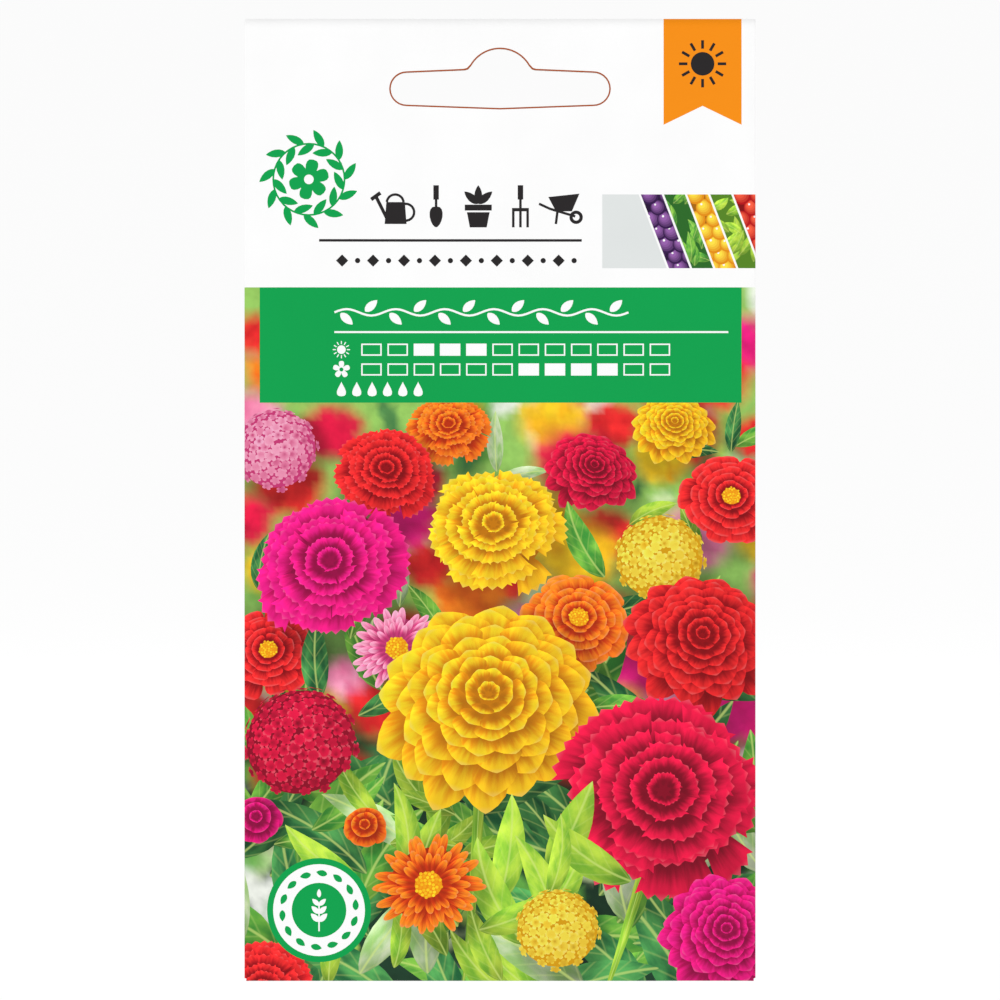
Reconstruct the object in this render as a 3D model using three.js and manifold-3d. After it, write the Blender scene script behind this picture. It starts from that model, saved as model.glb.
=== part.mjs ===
// A hanging seed packet: a paper envelope folded from one blank, and in it a foil sachet of seeds.
// Millimetres. X runs along the width, Y from front to back, Z up. The origin is where the peg bears:
// the top of the hang slot's arch, midway through the thickness.

import * as THREE from "three";
import { mergeVertices } from "three/addons/utils/BufferGeometryUtils.js";
import Module from "manifold-3d";

// ---- Envelope ----
const WIDTH = 80;
const HEIGHT = 150.6;
const TOP_EDGE = 4.74; // above the origin
const PAPER = 0.2;
const PANEL_GAP = 0.3; // between the panels where nothing lies between them
const HEADER_END = -38; // the flat header stops here, and the panels begin to part
const SIDE_FLAP = 12; // glued inside the back panel, along the right-hand fold
const SIDE_FLAP_RAMP = 4; // over which the back panel settles beside the flap
const SEAM_SETBACK = 1.6; // from the right-hand fold to the back panel's free edge
const BOTTOM_FLAP = 13; // folded up over the outside of the back panel
const FLAP_TAPER = 3; // lost from each end of the bottom flap, fold to edge

// ---- Hang slot ----
const SLOT_WIDTH = 34.2;
const WING_RADIUS = 2.49; // of the round ends
const WING_TOP = -3.71; // at the round ends
const WING_TOP_INNER = -3.33; // where the wings meet the arch
const ARCH_RADIUS = 5.17;
const ARCH_FILLET = 0.7; // along each side of the corner between wing and arch
const SLOT_LOWEST = -9.22; // the point of the slot's shallow V

// ---- Foil sachet ----
const SACHET_WIDTH = 66;
const SACHET_HEIGHT = 95;
const SACHET_LIFT = 4; // above the bottom fold
const SEAL = 5; // width of the flat sealed border
const FOIL = 0.12;
const CLEARANCE = 0.3; // between foil and paper
const POCKET_RISE = 0.75; // how far each leaf stands off at the seeds
const POCKET_SIDE_SLOPE = 9.5;
const POCKET_FOOT_SLOPE = 5;
const POCKET_HEAD_SLOPE = 52;

// ---- Seeds ----
const SEED_DIAMETER = 1.4;
const SEED_THICKNESS = 0.9;
const SEED_ROWS = [13, 12, 11]; // seeds in each row of the heap, from the bottom up
const SEED_PITCH = 2.3;
const SEED_ROW_PITCH = 2.2;

// ---- Derived places ----
const HALF_WIDTH = WIDTH / 2;
const BOTTOM_EDGE = TOP_EDGE - HEIGHT;
const FLAT_HALF = PANEL_GAP / 2 + PAPER;
const SEAM_EDGE = HALF_WIDTH - SEAM_SETBACK;
const FLAP_EDGE = BOTTOM_EDGE + BOTTOM_FLAP;
const SACHET_HALF = SACHET_WIDTH / 2;
const SACHET_BOTTOM = BOTTOM_EDGE + SACHET_LIFT;
const SACHET_TOP = SACHET_BOTTOM + SACHET_HEIGHT;
const POCKET_HALF = SACHET_HALF - SEAL;
const POCKET_BOTTOM = SACHET_BOTTOM + SEAL;
const POCKET_TOP = SACHET_TOP - SEAL;
const SACHET_RISE = FOIL + CLEARANCE;
const STEP = 0.02; // width of the ramp that stands for a cut paper edge
const FOLD_STEP = 0.1; // from a fold's crest to the first grid line on its round
const THINNEST = 0.1; // half-thickness at a fold's crest

// 0 below t = 0, 1 above t = 1 and smooth between them.
const ease = (t) => THREE.MathUtils.smoothstep(t, 0, 1);

const spaced = (from, to, cells) =>
  Array.from({ length: cells + 1 }, (_, i) => from + ((to - from) * i) / cells);

// The columns of a whole width, from those right of the centre.
const mirrored = (columns) => [...columns.map((x) => -x).reverse(), 0, ...columns];

// ---- How the panels part ----

// 1 over the sachet, falling to 0 at the folds and in the header.
function overSachet(x, z) {
  const across = ease((HALF_WIDTH - 1 - Math.abs(x)) / (HALF_WIDTH - 1.5 - SACHET_HALF));
  const foot = ease((z - BOTTOM_EDGE - 0.5) / (SACHET_LIFT - 0.5));
  const head = ease((HEADER_END - z) / (HEADER_END - SACHET_TOP));
  return across * foot * head;
}

// 1 where the seeds lie, falling to 0 at the sachet's sealed border.
function overPocket(x, z) {
  const across = ease((POCKET_HALF - Math.abs(x)) / POCKET_SIDE_SLOPE);
  const foot = ease((z - POCKET_BOTTOM) / POCKET_FOOT_SLOPE);
  const head = ease((POCKET_TOP - z) / POCKET_HEAD_SLOPE);
  return across * foot * head;
}

const swell = (x, z) => SACHET_RISE * overSachet(x, z) + POCKET_RISE * overPocket(x, z);

// Half-thickness of the flat packet at a distance from a fold, which it rounds off.
function foldedHalf(distance) {
  const inside = Math.max(FLAT_HALF - distance, 0);
  return Math.max(Math.sqrt(FLAT_HALF ** 2 - inside ** 2), THINNEST);
}

function outerHalf(x, z) {
  const fromFold = Math.min(HALF_WIDTH - Math.abs(x), z - BOTTOM_EDGE);
  return foldedHalf(fromFold) + swell(x, z);
}

const innerHalf = (x, z) => PANEL_GAP / 2 + swell(x, z);

// The back panel stands one sheet prouder where the side flap lies under it, up to its free edge.
function seamRise(x) {
  if (x > SEAM_EDGE) return 0;
  return PAPER * ease((x - HALF_WIDTH + SIDE_FLAP) / SIDE_FLAP_RAMP + 1);
}

const backFace = (x, z) => outerHalf(x, z) + seamRise(x);

// ---- Grid lines, shared by paper and foil so that the gaps between them stay even ----
const POCKET_COLUMNS = spaced(0, POCKET_HALF, 6).slice(1);
const SACHET_COLUMNS = [...POCKET_COLUMNS, SACHET_HALF];
const FOLD_START = HALF_WIDTH - FLAT_HALF;
const PANEL_COLUMNS = [...SACHET_COLUMNS, ...spaced(SACHET_HALF, FOLD_START, 3).slice(1)];

const FOOT_ROWS = spaced(BOTTOM_EDGE + FLAT_HALF, SACHET_BOTTOM, 3).slice(0, -1);
const FLAP_ROWS = [...FOOT_ROWS, SACHET_BOTTOM, POCKET_BOTTOM, FLAP_EDGE];
const POCKET_ROWS = [FLAP_EDGE, ...spaced(POCKET_BOTTOM, POCKET_TOP, 15).slice(1)];
const SACHET_ROWS = [SACHET_BOTTOM, POCKET_BOTTOM, ...POCKET_ROWS, SACHET_TOP];
const PANEL_ROWS = [...FOOT_ROWS, ...SACHET_ROWS, (SACHET_TOP + HEADER_END) / 2, HEADER_END];

// ---- Solids ----

// The grid points round a grid's edge, anticlockwise as seen from the front.
function gridEdge(columns, rows) {
  const across = [...Array(columns - 1).keys()];
  const up = [...Array(rows - 1).keys()];
  const last = columns * rows - 1;
  const bottom = across.map((i) => i);
  const right = up.map((j) => j * columns + columns - 1);
  const top = across.map((i) => last - i);
  const left = up.map((j) => (rows - 1 - j) * columns);
  return [...bottom, ...right, ...top, ...left];
}

// A closed body between the surfaces y = front(x, z) and y = back(x, z) over a grid of columns and
// rows. No column reaches further from x = 0 than reach(z).
function slab(columns, rows, front, back, reach = () => HALF_WIDTH) {
  const sheet = columns.length * rows.length;
  const face = (height) =>
    rows.flatMap((z) =>
      columns.flatMap((column) => {
        const x = THREE.MathUtils.clamp(column, -reach(z), reach(z));
        return [x, height(x, z), z];
      }),
    );
  const index = [];
  for (let j = 0; j < rows.length - 1; j++) {
    for (let i = 0; i < columns.length - 1; i++) {
      const a = j * columns.length + i;
      const [b, c, d] = [a + 1, a + 1 + columns.length, a + columns.length];
      index.push(a, b, c, a, c, d);
      index.push(sheet + a, sheet + c, sheet + b, sheet + a, sheet + d, sheet + c);
    }
  }
  const edge = gridEdge(columns.length, rows.length);
  edge.forEach((p, k) => {
    const q = edge[(k + 1) % edge.length];
    index.push(p, sheet + p, sheet + q, p, sheet + q, q);
  });
  const geometry = new THREE.BufferGeometry();
  geometry.setAttribute(
    "position",
    new THREE.Float32BufferAttribute([...face(front), ...face(back)], 3),
  );
  geometry.setIndex(index);
  return geometry;
}

const wasm = await Module();
wasm.setup();

function toSolid(geometry) {
  const bare = geometry.clone();
  bare.deleteAttribute("normal");
  bare.deleteAttribute("uv");
  const merged = mergeVertices(bare, 1e-4);
  return new wasm.Manifold(
    new wasm.Mesh({
      numProp: 3,
      vertProperties: new Float32Array(merged.attributes.position.array),
      triVerts: new Uint32Array(merged.index.array),
    }),
  );
}

function toGeometry(solid) {
  const mesh = solid.getMesh();
  const geometry = new THREE.BufferGeometry();
  geometry.setAttribute("position", new THREE.BufferAttribute(mesh.vertProperties, 3));
  geometry.setIndex(new THREE.BufferAttribute(mesh.triVerts, 1));
  return geometry;
}

// ---- Envelope ----

// The slot's outline in X and Z: two round-ended wings, an arch between them and a shallow V below.
function slotOutline() {
  const wingEnd = SLOT_WIDTH / 2 - WING_RADIUS;
  const wingMiddle = WING_TOP - WING_RADIUS;
  const archCentre = -ARCH_RADIUS;
  const footAngle = Math.asin((WING_TOP_INNER + ARCH_FILLET - archCentre) / ARCH_RADIUS);
  const footX = Math.cos(footAngle) * ARCH_RADIUS;
  const cornerX = Math.sqrt(ARCH_RADIUS ** 2 - (WING_TOP_INNER - archCentre) ** 2);
  const outline = new THREE.Shape();
  outline.moveTo(0, SLOT_LOWEST);
  outline.lineTo(wingEnd, wingMiddle - WING_RADIUS);
  outline.absarc(wingEnd, wingMiddle, WING_RADIUS, -Math.PI / 2, Math.PI / 2, false);
  outline.lineTo(cornerX + ARCH_FILLET, WING_TOP_INNER);
  outline.quadraticCurveTo(cornerX, WING_TOP_INNER, footX, WING_TOP_INNER + ARCH_FILLET);
  outline.absarc(0, archCentre, ARCH_RADIUS, footAngle, Math.PI - footAngle, false);
  outline.quadraticCurveTo(-cornerX, WING_TOP_INNER, -cornerX - ARCH_FILLET, WING_TOP_INNER);
  outline.lineTo(-wingEnd, WING_TOP);
  outline.absarc(-wingEnd, wingMiddle, WING_RADIUS, Math.PI / 2, (3 * Math.PI) / 2, false);
  outline.closePath();
  return outline;
}

function slotCutter() {
  const depth = 6;
  const cutter = new THREE.ExtrudeGeometry(slotOutline(), {
    depth,
    bevelEnabled: false,
    curveSegments: 10,
  });
  return cutter.rotateX(Math.PI / 2).translate(0, depth / 2, 0);
}

// The outside of the folded tube: both panels, both side folds and the bottom fold.
function tube() {
  const roundedColumns = [HALF_WIDTH - FOLD_STEP, HALF_WIDTH];
  const seamColumns = [HALF_WIDTH - SIDE_FLAP - SIDE_FLAP_RAMP / 2, SEAM_EDGE, SEAM_EDGE + STEP];
  const columns = [...mirrored([...PANEL_COLUMNS, ...roundedColumns]), ...seamColumns];
  const rows = [BOTTOM_EDGE, BOTTOM_EDGE + FOLD_STEP, ...PANEL_ROWS, TOP_EDGE];
  const frontFace = (x, z) => -outerHalf(x, z);
  return slab(columns.sort((a, b) => a - b), rows, frontFace, backFace);
}

// The room inside the tube, open at the mouth.
function cavity() {
  const pastMouth = TOP_EDGE + 1;
  const frontFace = (x, z) => -innerHalf(x, z);
  return slab(mirrored(PANEL_COLUMNS), [...PANEL_ROWS, pastMouth], frontFace, innerHalf);
}

// The bottom flap comes round the bottom fold and lies on the outside of the back panel.
function bottomFlap() {
  const foot = BOTTOM_EDGE + FOLD_STEP / 2;
  const bedded = (x, z) => Math.min(innerHalf(x, z), outerHalf(x, z) - PAPER) + PAPER / 2;
  const outside = (x, z) => backFace(x, z) + PAPER * ease((z - foot + FOLD_STEP) / FLAT_HALF);
  const reach = (z) => FOLD_START - (FLAP_TAPER * (z - foot)) / (FLAP_EDGE - foot);
  const columns = mirrored([...SACHET_COLUMNS, FOLD_START]);
  return slab(columns, [foot, ...FLAP_ROWS], bedded, outside, reach);
}

function envelope() {
  const folded = toSolid(tube()).add(toSolid(bottomFlap()));
  return toGeometry(folded.subtract(toSolid(cavity())).subtract(toSolid(slotCutter())));
}

// ---- Foil sachet ----

// One leaf: a flat sealed border round a shallow pocket. side is -1 for the front, 1 for the back.
function foilLeaf(side) {
  const inner = (x, z) => PANEL_GAP / 2 + POCKET_RISE * overPocket(x, z);
  const inside = (x, z) => side * inner(x, z);
  const outside = (x, z) => side * (inner(x, z) + FOIL);
  const columns = mirrored(SACHET_COLUMNS);
  return side < 0
    ? slab(columns, SACHET_ROWS, outside, inside)
    : slab(columns, SACHET_ROWS, inside, outside);
}

// ---- Seeds ----

// A thick lens whose short axis is Y.
function seed() {
  const [radius, half] = [SEED_DIAMETER / 2, SEED_THICKNESS / 2];
  const profile = [
    new THREE.Vector2(0, -half),
    new THREE.Vector2(radius * 0.72, -half * 0.66),
    new THREE.Vector2(radius, 0),
    new THREE.Vector2(radius * 0.72, half * 0.66),
    new THREE.Vector2(0, half),
  ];
  return new THREE.LatheGeometry(profile, 9);
}

// Where the seeds have settled: staggered rows at the foot of the pocket, each a little out of line.
function seedPlaces() {
  const lowest = POCKET_BOTTOM + POCKET_FOOT_SLOPE + SEED_DIAMETER;
  const loose = (SEED_PITCH - SEED_DIAMETER) / 2 - 0.2;
  return SEED_ROWS.flatMap((count, row) =>
    Array.from({ length: count }, (_, i) => {
      const turn = 2.4 * (i + 5 * row);
      const x = (i - (count - 1) / 2) * SEED_PITCH + loose * Math.cos(turn);
      const z = lowest + row * SEED_ROW_PITCH + loose * Math.sin(turn);
      return { x, z, turn };
    }),
  );
}

// ---- Assembly ----
const paperMaterial = new THREE.MeshStandardMaterial({ color: 0xf7f7f4, roughness: 0.5 });
const foilMaterial = new THREE.MeshStandardMaterial({
  color: 0xc9ccd0,
  roughness: 0.3,
  metalness: 0.9,
});
const seedMaterial = new THREE.MeshStandardMaterial({ color: 0x141112, roughness: 0.25 });

function named(name, geometry, material) {
  const mesh = new THREE.Mesh(geometry, material);
  mesh.name = name;
  return mesh;
}

const packet = new THREE.Group();
packet.add(named("envelope", envelope(), paperMaterial));
packet.add(named("foil_front", foilLeaf(-1), foilMaterial));
packet.add(named("foil_back", foilLeaf(1), foilMaterial));
seedPlaces().forEach(({ x, z, turn }, i) => {
  const mesh = named(`seed_${String(i + 1).padStart(2, "0")}`, seed(), seedMaterial);
  mesh.position.set(x, 0, z);
  mesh.rotation.set(0, turn, 0);
  packet.add(mesh);
});

export default packet;
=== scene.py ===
"""A hanging seed packet for Blender 4.5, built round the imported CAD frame.

The envelope is one paper blank. Its print is drawn flat on the blank as inked shapes, the blank is cut
into triangles along their edges, and the triangles are folded into the packet. Lengths are in
millimetres, angles in radians, and MM turns millimetres into Blender's metres. On the blank, u runs round
the packet from the middle of the front and v runs up; on the front panel they equal X and Z.
"""

import math
from dataclasses import dataclass
from itertools import pairwise

import bpy
import numpy as np
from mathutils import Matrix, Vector
from mathutils.bvhtree import BVHTree
from mathutils.geometry import delaunay_2d_cdt


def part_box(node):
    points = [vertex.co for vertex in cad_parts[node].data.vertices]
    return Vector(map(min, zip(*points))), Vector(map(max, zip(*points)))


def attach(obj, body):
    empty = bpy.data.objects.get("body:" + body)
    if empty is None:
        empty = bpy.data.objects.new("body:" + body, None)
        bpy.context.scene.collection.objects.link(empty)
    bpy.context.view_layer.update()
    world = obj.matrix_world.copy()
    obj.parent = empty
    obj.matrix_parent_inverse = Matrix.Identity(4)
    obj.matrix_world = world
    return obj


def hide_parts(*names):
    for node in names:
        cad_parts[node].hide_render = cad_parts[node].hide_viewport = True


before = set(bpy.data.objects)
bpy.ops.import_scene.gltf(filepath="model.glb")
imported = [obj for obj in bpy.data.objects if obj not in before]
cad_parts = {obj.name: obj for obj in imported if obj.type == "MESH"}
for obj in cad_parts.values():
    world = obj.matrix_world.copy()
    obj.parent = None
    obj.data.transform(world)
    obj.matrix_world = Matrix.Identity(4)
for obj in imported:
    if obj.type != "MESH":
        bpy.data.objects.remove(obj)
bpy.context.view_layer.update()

MM = 0.001


def box_mm(node):
    """A CAD node's lowest and highest corner, in millimetres."""
    return [tuple(c / MM for c in corner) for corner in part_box(node)]


# ---- Sizes ----
(_, _, BOTTOM_EDGE), (HALF_WIDTH, _, TOP_EDGE) = box_mm("envelope")
(_, _, SACHET_BOTTOM), (SACHET_HALF, _, SACHET_TOP) = box_mm("foil_front")

PAPER = 0.13
FOLD_RADIUS = 0.3
MOUTH_HALF = 0.145  # half-thickness at the glued mouth
MOUTH_GLUE = 8.0  # height over which the panels close on each other at the mouth
SHEET_STEP = 0.2  # how far one sheet lifts the next
HEADER_END = -38.0  # the flat header stops here, and the panels begin to part
SIDE_FLAP = 12.0  # glued inside the back panel, along the right-hand fold
SIDE_FLAP_RAMP = 4.0  # over which the back panel settles beside the flap
SIDE_FLAP_BEVEL = 3.0  # lost from each end of its free edge
SEAM_SETBACK = 1.6  # from the right-hand fold to the back panel's free edge
LIFT_SETBACK = 0.4  # from the same fold to where the flap begins to lift the back panel
BOTTOM_FLAP = 13.0  # folded up over the outside of the back panel
FLAP_TAPER = 3.0
FLAP_CORNER = 2.5
FOOT_SETBACK = 0.45  # from the bottom fold up to the back panel's lower edge
SACHET_LIFT = SACHET_BOTTOM - BOTTOM_EDGE
SACHET_RISE = 0.42  # how far each panel stands off over the sachet
SWELL_SETBACK = 1.0  # from a side fold to where the swell over the sachet begins
SWELL_PLAY = 0.5  # the swell is whole this far outside the sachet
SEAL = 5.0
POCKET_RISE = 0.75  # how far each leaf and panel swells where the seeds lie
POCKET_SIDE_SLOPE = 9.5  # over which the swell rises, from the seal inwards
POCKET_FOOT_SLOPE = 5.0
POCKET_HEAD_SLOPE = 52.0
FOIL = 0.12
FOIL_GAP = 0.15  # from the middle plane to a leaf's inner face at the seal
WAVE = 0.07  # height of the low waves in the paper
CALM_SIDE, CALM_FOOT, CALM_TOP = 7.0, 9.0, 30.0  # from each edge to where the waves are full
RIDGE = 0.05  # height of the ridge that the sachet's edge presses into the paper
RIDGE_SPREAD = 0.9  # how far it reaches to each side of the edge

SLOT_WIDTH = 34.2
WING_RADIUS = 2.49  # of the round ends
WING_TOP = -3.71  # at the round ends
WING_TOP_INNER = -3.33  # where the wings meet the arch
ARCH_RADIUS = 5.17
ARCH_FILLET = 0.7  # along each side of the corner between wing and arch
SLOT_LOWEST = -9.22  # the point of the slot's shallow V
SLOT_LINE = 0.24  # width of the printed line round the slot

FLAT_X = HALF_WIDTH - FOLD_RADIUS
FLAT_Z = BOTTOM_EDGE + FOLD_RADIUS
FOLD_ARC = math.pi * FOLD_RADIUS
SEAM_EDGE = HALF_WIDTH - SEAM_SETBACK
FLAP_EDGE = BOTTOM_EDGE + BOTTOM_FLAP
BACK_FOOT = BOTTOM_EDGE + FOOT_SETBACK
POCKET_HALF = SACHET_HALF - SEAL
POCKET_BOTTOM = SACHET_BOTTOM + SEAL
POCKET_TOP = SACHET_TOP - SEAL

# Print on the front
BLEED = 2.6  # how far the picture runs on round the folds
PRINT_HALF = FLAT_X + FOLD_ARC + BLEED
MARGIN_LEFT = -25.9  # of the dots and of all that is on the band
EMBLEM_CENTRE, EMBLEM_SIZE = (-29.9, -20.4), 15.5
TOOLS_LEFT, TOOLS_Z, TOOL_SIZE = -16.6, -24.6, 6.6
HEADER_RULE = (-28.3, 12.8, -29.94, 0.4)  # left, right, Z and width
DOTS, DOTS_LEFT, DOTS_Z, DOT_PITCH = 16, MARGIN_LEFT + 1.2, -33.1, 2.42
DOT_RADIUS, DIAMOND_HALF = 0.42, 0.68
RIBBON_LEFT, RIBBON_RIGHT, RIBBON_FOOT, RIBBON_NOTCH = 25.6, 37.8, -11.84, 2.96
RIBBON_SUN_Z, RIBBON_SUN_SIZE = -2.3, 7.4
STRIP_LEFT, STRIP_BOTTOM, STRIP_TOP = 16.0, -34.29, -22.74
GREY_RIGHT = 21.7  # where the grey tile ends, at the strip's top
TILE_PITCH, TILE_GAP, TILE_SLANT = 3.62, 0.34, 4.4
FRUIT_PITCH, FRUIT_ROW = 2.5, 1.9
BAND_LEFT, BAND_RIGHT, BAND_TOP, BAND_BOTTOM = -37.6, 37.8, -37.29, -55.34
BAND_VINE = (MARGIN_LEFT, 20.1, -41.2, 3.6)  # left, right, middle and height
BAND_RULE = (MARGIN_LEFT, 35.7, -44.3, 0.3)  # as in HEADER_RULE
SUN_ROW, BLOSSOM_ROW = -47.05, -50.15  # middles of the two rows of cells
ICON_X, ICON_SIZE = MARGIN_LEFT + 1.1, 2.7
CELLS_LEFT = MARGIN_LEFT + 4.2
CELL_PITCH, CELL_WIDTH, CELL_HEIGHT, CELL_LINE = 4.1, 3.2, 1.9, 0.22
DROPS, DROPS_Z, DROP_PITCH, DROP_SIZE = 6, -53.2, 2.4, 2.3
BADGE_CENTRE = (-28.3, -134.7)
BADGE_RADII = (8.14, 7.19, 4.27)  # green, white and inner green
BADGE_LEAVES, BADGE_LEAF, BADGE_SPRIG = 14, 1.75, 6.6

# Print on the back
BACK_HALF = 34.0  # half the width of the print
BACK_EMBLEM_Z, BACK_EMBLEM_SIZE = -22.0, 14.0
BACK_BAND = 8.0  # height of its band
BACK_VINE = (-30.0, 30.0, -41.4, 4.2)  # as in BAND_VINE
CHART_LEFT, CHART_TOP = -25.0, -54.0
CHART_PITCH, CHART_ROW, CHART_HEAD, CHART_BAR, CHART_LINE = 4.7, 6.2, 2.0, 2.6, 0.2
CHART_ICON_X, CHART_ICON_SIZE = CHART_LEFT - 5, 4.8
CHART_LINES_LEFT = CHART_LEFT - 8
SOIL_HALF, SOIL_TOP, SOIL_DEPTH = 31.0, -92.0, 9.0
SOWING_PITCH, SOWING_Z, SOWN_SEED = 9.0, SOIL_TOP - 4.2, 0.75
SHOOT_SIZE = 10.0
ARROW_Z, ARROW_LINE = SOIL_TOP - 6.6, 0.4
SIGN_PITCH, SIGNS_Z, SIGN_SIZE = 18.0, -113.5, 6.8
SIGN_RADII = (6.2, 5.6)  # green and white
BACK_RULE = (-BACK_HALF, BACK_HALF, -124.4, 0.4)  # as in HEADER_RULE

# Foil and seeds
CRINKLE = 0.16  # depth of the creases in the pocket
SEAL_RIB = 0.03  # half the height of the seal's embossing
SEAL_RIB_PITCH = 2.4
NOTCH_DEPTH, NOTCH_SPREAD = 0.17, 0.4  # in shares of the seed's radius, and radians

# Fineness of the meshes
LONGEST_EDGE = 1.5  # of an outline
CREASES = 7  # lines along each fold, from one side of its round to the other
FINE, COARSE = 1.0, 1.5  # distance between the blank's spare points
WELD = 1e-4  # points nearer than this become one
FOIL_COLUMNS, FOIL_ROWS = 111, 157
SEED_SIDES, SEED_RINGS = 20, 10
STAGE_SIDES = 96

# Camera
CAMERA_LENS = 135.0
SENSOR = 36.0
FRAME_WIDTH = 156.56  # across the picture at the packet
CENTRE_Z = (TOP_EDGE + BOTTOM_EDGE) / 2

# Stage, in metres
FLOOR_DROP = 0.025  # from the packet's bottom edge down to the floor
FLOOR_RADIUS, COVE_RADIUS, WALL_HEIGHT = 1.6, 0.9, 2.6
STAGE_GLOW = 0.945
SKY_GLOW = 0.5


# ---- Form of the packet ----


def ease(t):
    """0 below t = 0, 1 above t = 1 and smooth between them."""
    t = np.clip(t, 0, 1)
    return t * t * (3 - 2 * t)


def over_sachet(x, z):
    """1 over the sachet, falling to 0 at the folds and in the header."""
    room = HALF_WIDTH - SWELL_SETBACK
    across = ease((room - np.abs(x)) / (room - SWELL_PLAY - SACHET_HALF))
    foot = ease((z - BOTTOM_EDGE - SWELL_PLAY) / (SACHET_LIFT - SWELL_PLAY))
    head = ease((HEADER_END - z) / (HEADER_END - SACHET_TOP))
    return across * foot * head


def over_pocket(x, z):
    """1 where the seeds lie, falling to 0 at the sachet's sealed border."""
    across = ease((POCKET_HALF - np.abs(x)) / POCKET_SIDE_SLOPE)
    foot = ease((z - POCKET_BOTTOM) / POCKET_FOOT_SLOPE)
    head = ease((POCKET_TOP - z) / POCKET_HEAD_SLOPE)
    return across * foot * head


def relief(x, z, on_back):
    """The paper's low waves and the ridge along the sachet's edge. on_back is 0 in front and 1 behind."""
    sides = ease((HALF_WIDTH - np.abs(x)) / CALM_SIDE)
    ends = ease((z - BOTTOM_EDGE) / CALM_FOOT) * ease((TOP_EDGE - z) / CALM_TOP)
    turn = 2.3 * on_back
    phases = (x / 9 + z / 21 + turn, z / 12 - x / 15 + 1.9 + turn, x / 6.1 - z / 37 - turn)
    waves = sum(np.sin(phase) for phase in phases)
    outside = np.maximum(np.abs(x) - SACHET_HALF, np.maximum(SACHET_BOTTOM - z, z - SACHET_TOP))
    ridge = np.exp(-((outside / RIDGE_SPREAD) ** 2))
    return sides * ends * (WAVE * waves + RIDGE * ridge)


def half_thickness(x, z, on_back):
    """Distance from the middle plane to the printed face."""
    flat = FOLD_RADIUS - (FOLD_RADIUS - MOUTH_HALF) * ease((z - TOP_EDGE + MOUTH_GLUE) / MOUTH_GLUE)
    swell = SACHET_RISE * over_sachet(x, z) + POCKET_RISE * over_pocket(x, z)
    return flat + swell + relief(x, z, on_back)


def seam_rise(x):
    """How far the glued side flap lifts the back panel."""
    onto = ease((x - HALF_WIDTH + SIDE_FLAP) / SIDE_FLAP_RAMP + 1)
    off = ease((HALF_WIDTH - LIFT_SETBACK - x) / (SEAM_SETBACK - LIFT_SETBACK))
    return SHEET_STEP * onto * off


# ---- Folding the blank ----


def turned_in(reach, flat, depth):
    """Folds a length of blank over at flat: how far it reaches then, and the angle it has turned."""
    past = np.maximum(reach - flat, 0)
    angle = np.minimum(past / FOLD_RADIUS, math.pi)
    beyond = np.maximum(past - FOLD_ARC, 0)
    return np.minimum(reach, flat) + (FOLD_RADIUS - depth) * np.sin(angle) - beyond, angle


def folded(u, v, depth=0.0):
    """Where blank points lie in the folded packet, at a depth below the printed face."""
    reach, side_turn = turned_in(np.abs(u), FLAT_X, depth)
    drop, foot_turn = turned_in(-v, -FLAT_Z, depth)
    x, z = np.sign(u) * reach, -drop
    turn = np.maximum(side_turn, foot_turn)
    on_back = (1 - np.cos(turn)) / 2
    on_flap = (foot_turn > 0) & (side_turn == 0)
    lift = np.where((u < 0) | on_flap, seam_rise(x), 0) + np.where(on_flap, SHEET_STEP, 0)
    y = -np.cos(turn) * (half_thickness(x, z, on_back) - depth) + lift * on_back
    return np.column_stack([x, y, z]) * MM


def back_u(x):
    """The blank's u at the back panel's X."""
    return -(FLAT_X + FOLD_ARC) - (FLAT_X + x)


def side_flap_u(x):
    """The blank's u at the side flap's X."""
    return FLAT_X + FOLD_ARC + FLAT_X - x


def bottom_flap_v(z):
    """The blank's v at the bottom flap's Z."""
    return FLAT_Z - FOLD_ARC - (z - FLAT_Z)


BACK_MIDDLE = back_u(0)


# ---- Outlines ----


def arc(centre, radius, start, end, steps):
    angles = np.linspace(start, end, steps + 1)
    return [(centre[0] + radius * math.cos(a), centre[1] + radius * math.sin(a)) for a in angles]


def disc(centre, radius, sides=28):
    return arc(centre, radius, 0, 2 * math.pi * (1 - 1 / sides), sides - 1)


def box(left, bottom, right, top, inset=0.0):
    left, bottom, right, top = left + inset, bottom + inset, right - inset, top - inset
    return [(left, bottom), (right, bottom), (right, top), (left, top)]


def placed(outline, centre, angle=0.0, size=1.0):
    """The outline scaled, turned and then moved to centre."""
    c, s = math.cos(angle) * size, math.sin(angle) * size
    return np.asarray(outline) @ np.array([[c, s], [-s, c]]) + centre


def spaced_round(centre, radius, count):
    """Evenly spaced angles, each with its place on the circle."""
    for angle in np.arange(count) * 2 * math.pi / count:
        yield angle, placed([(radius, 0)], centre, angle)[0]


def stroke(points, width):
    """The outline of a line of this width along points, with square ends."""
    points = np.asarray(points, float)
    run = np.gradient(points, axis=0)
    normal = np.column_stack([-run[:, 1], run[:, 0]]) / np.linalg.norm(run, axis=1)[:, None]
    return np.vstack([points + normal * width / 2, (points - normal * width / 2)[::-1]])


def subdivided(outline):
    """The closed outline with points added along its long edges."""
    outline = np.asarray(outline, float)
    parts = []
    for start, end in zip(outline, np.roll(outline, -1, axis=0)):
        count = max(math.ceil(np.linalg.norm(end - start) / LONGEST_EDGE), 1)
        parts.append(start + (end - start) * np.arange(count)[:, None] / count)
    return np.vstack(parts)


def blade(width, rise=0.7, fall=0.9, steps=8):
    """A petal or leaf of length 1 from the origin along +X. A low fall gives a round tip, a high one a sharp
    tip."""
    s = (1 - np.cos(np.linspace(0, math.pi, steps + 1)))[1:-1] / 2
    half = s**rise * (1 - s) ** fall
    half *= width / 2 / half.max()
    return np.vstack([[(0, 0)], np.column_stack([s, -half]), [(1, 0)], np.column_stack([s, half])[::-1]])


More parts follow.
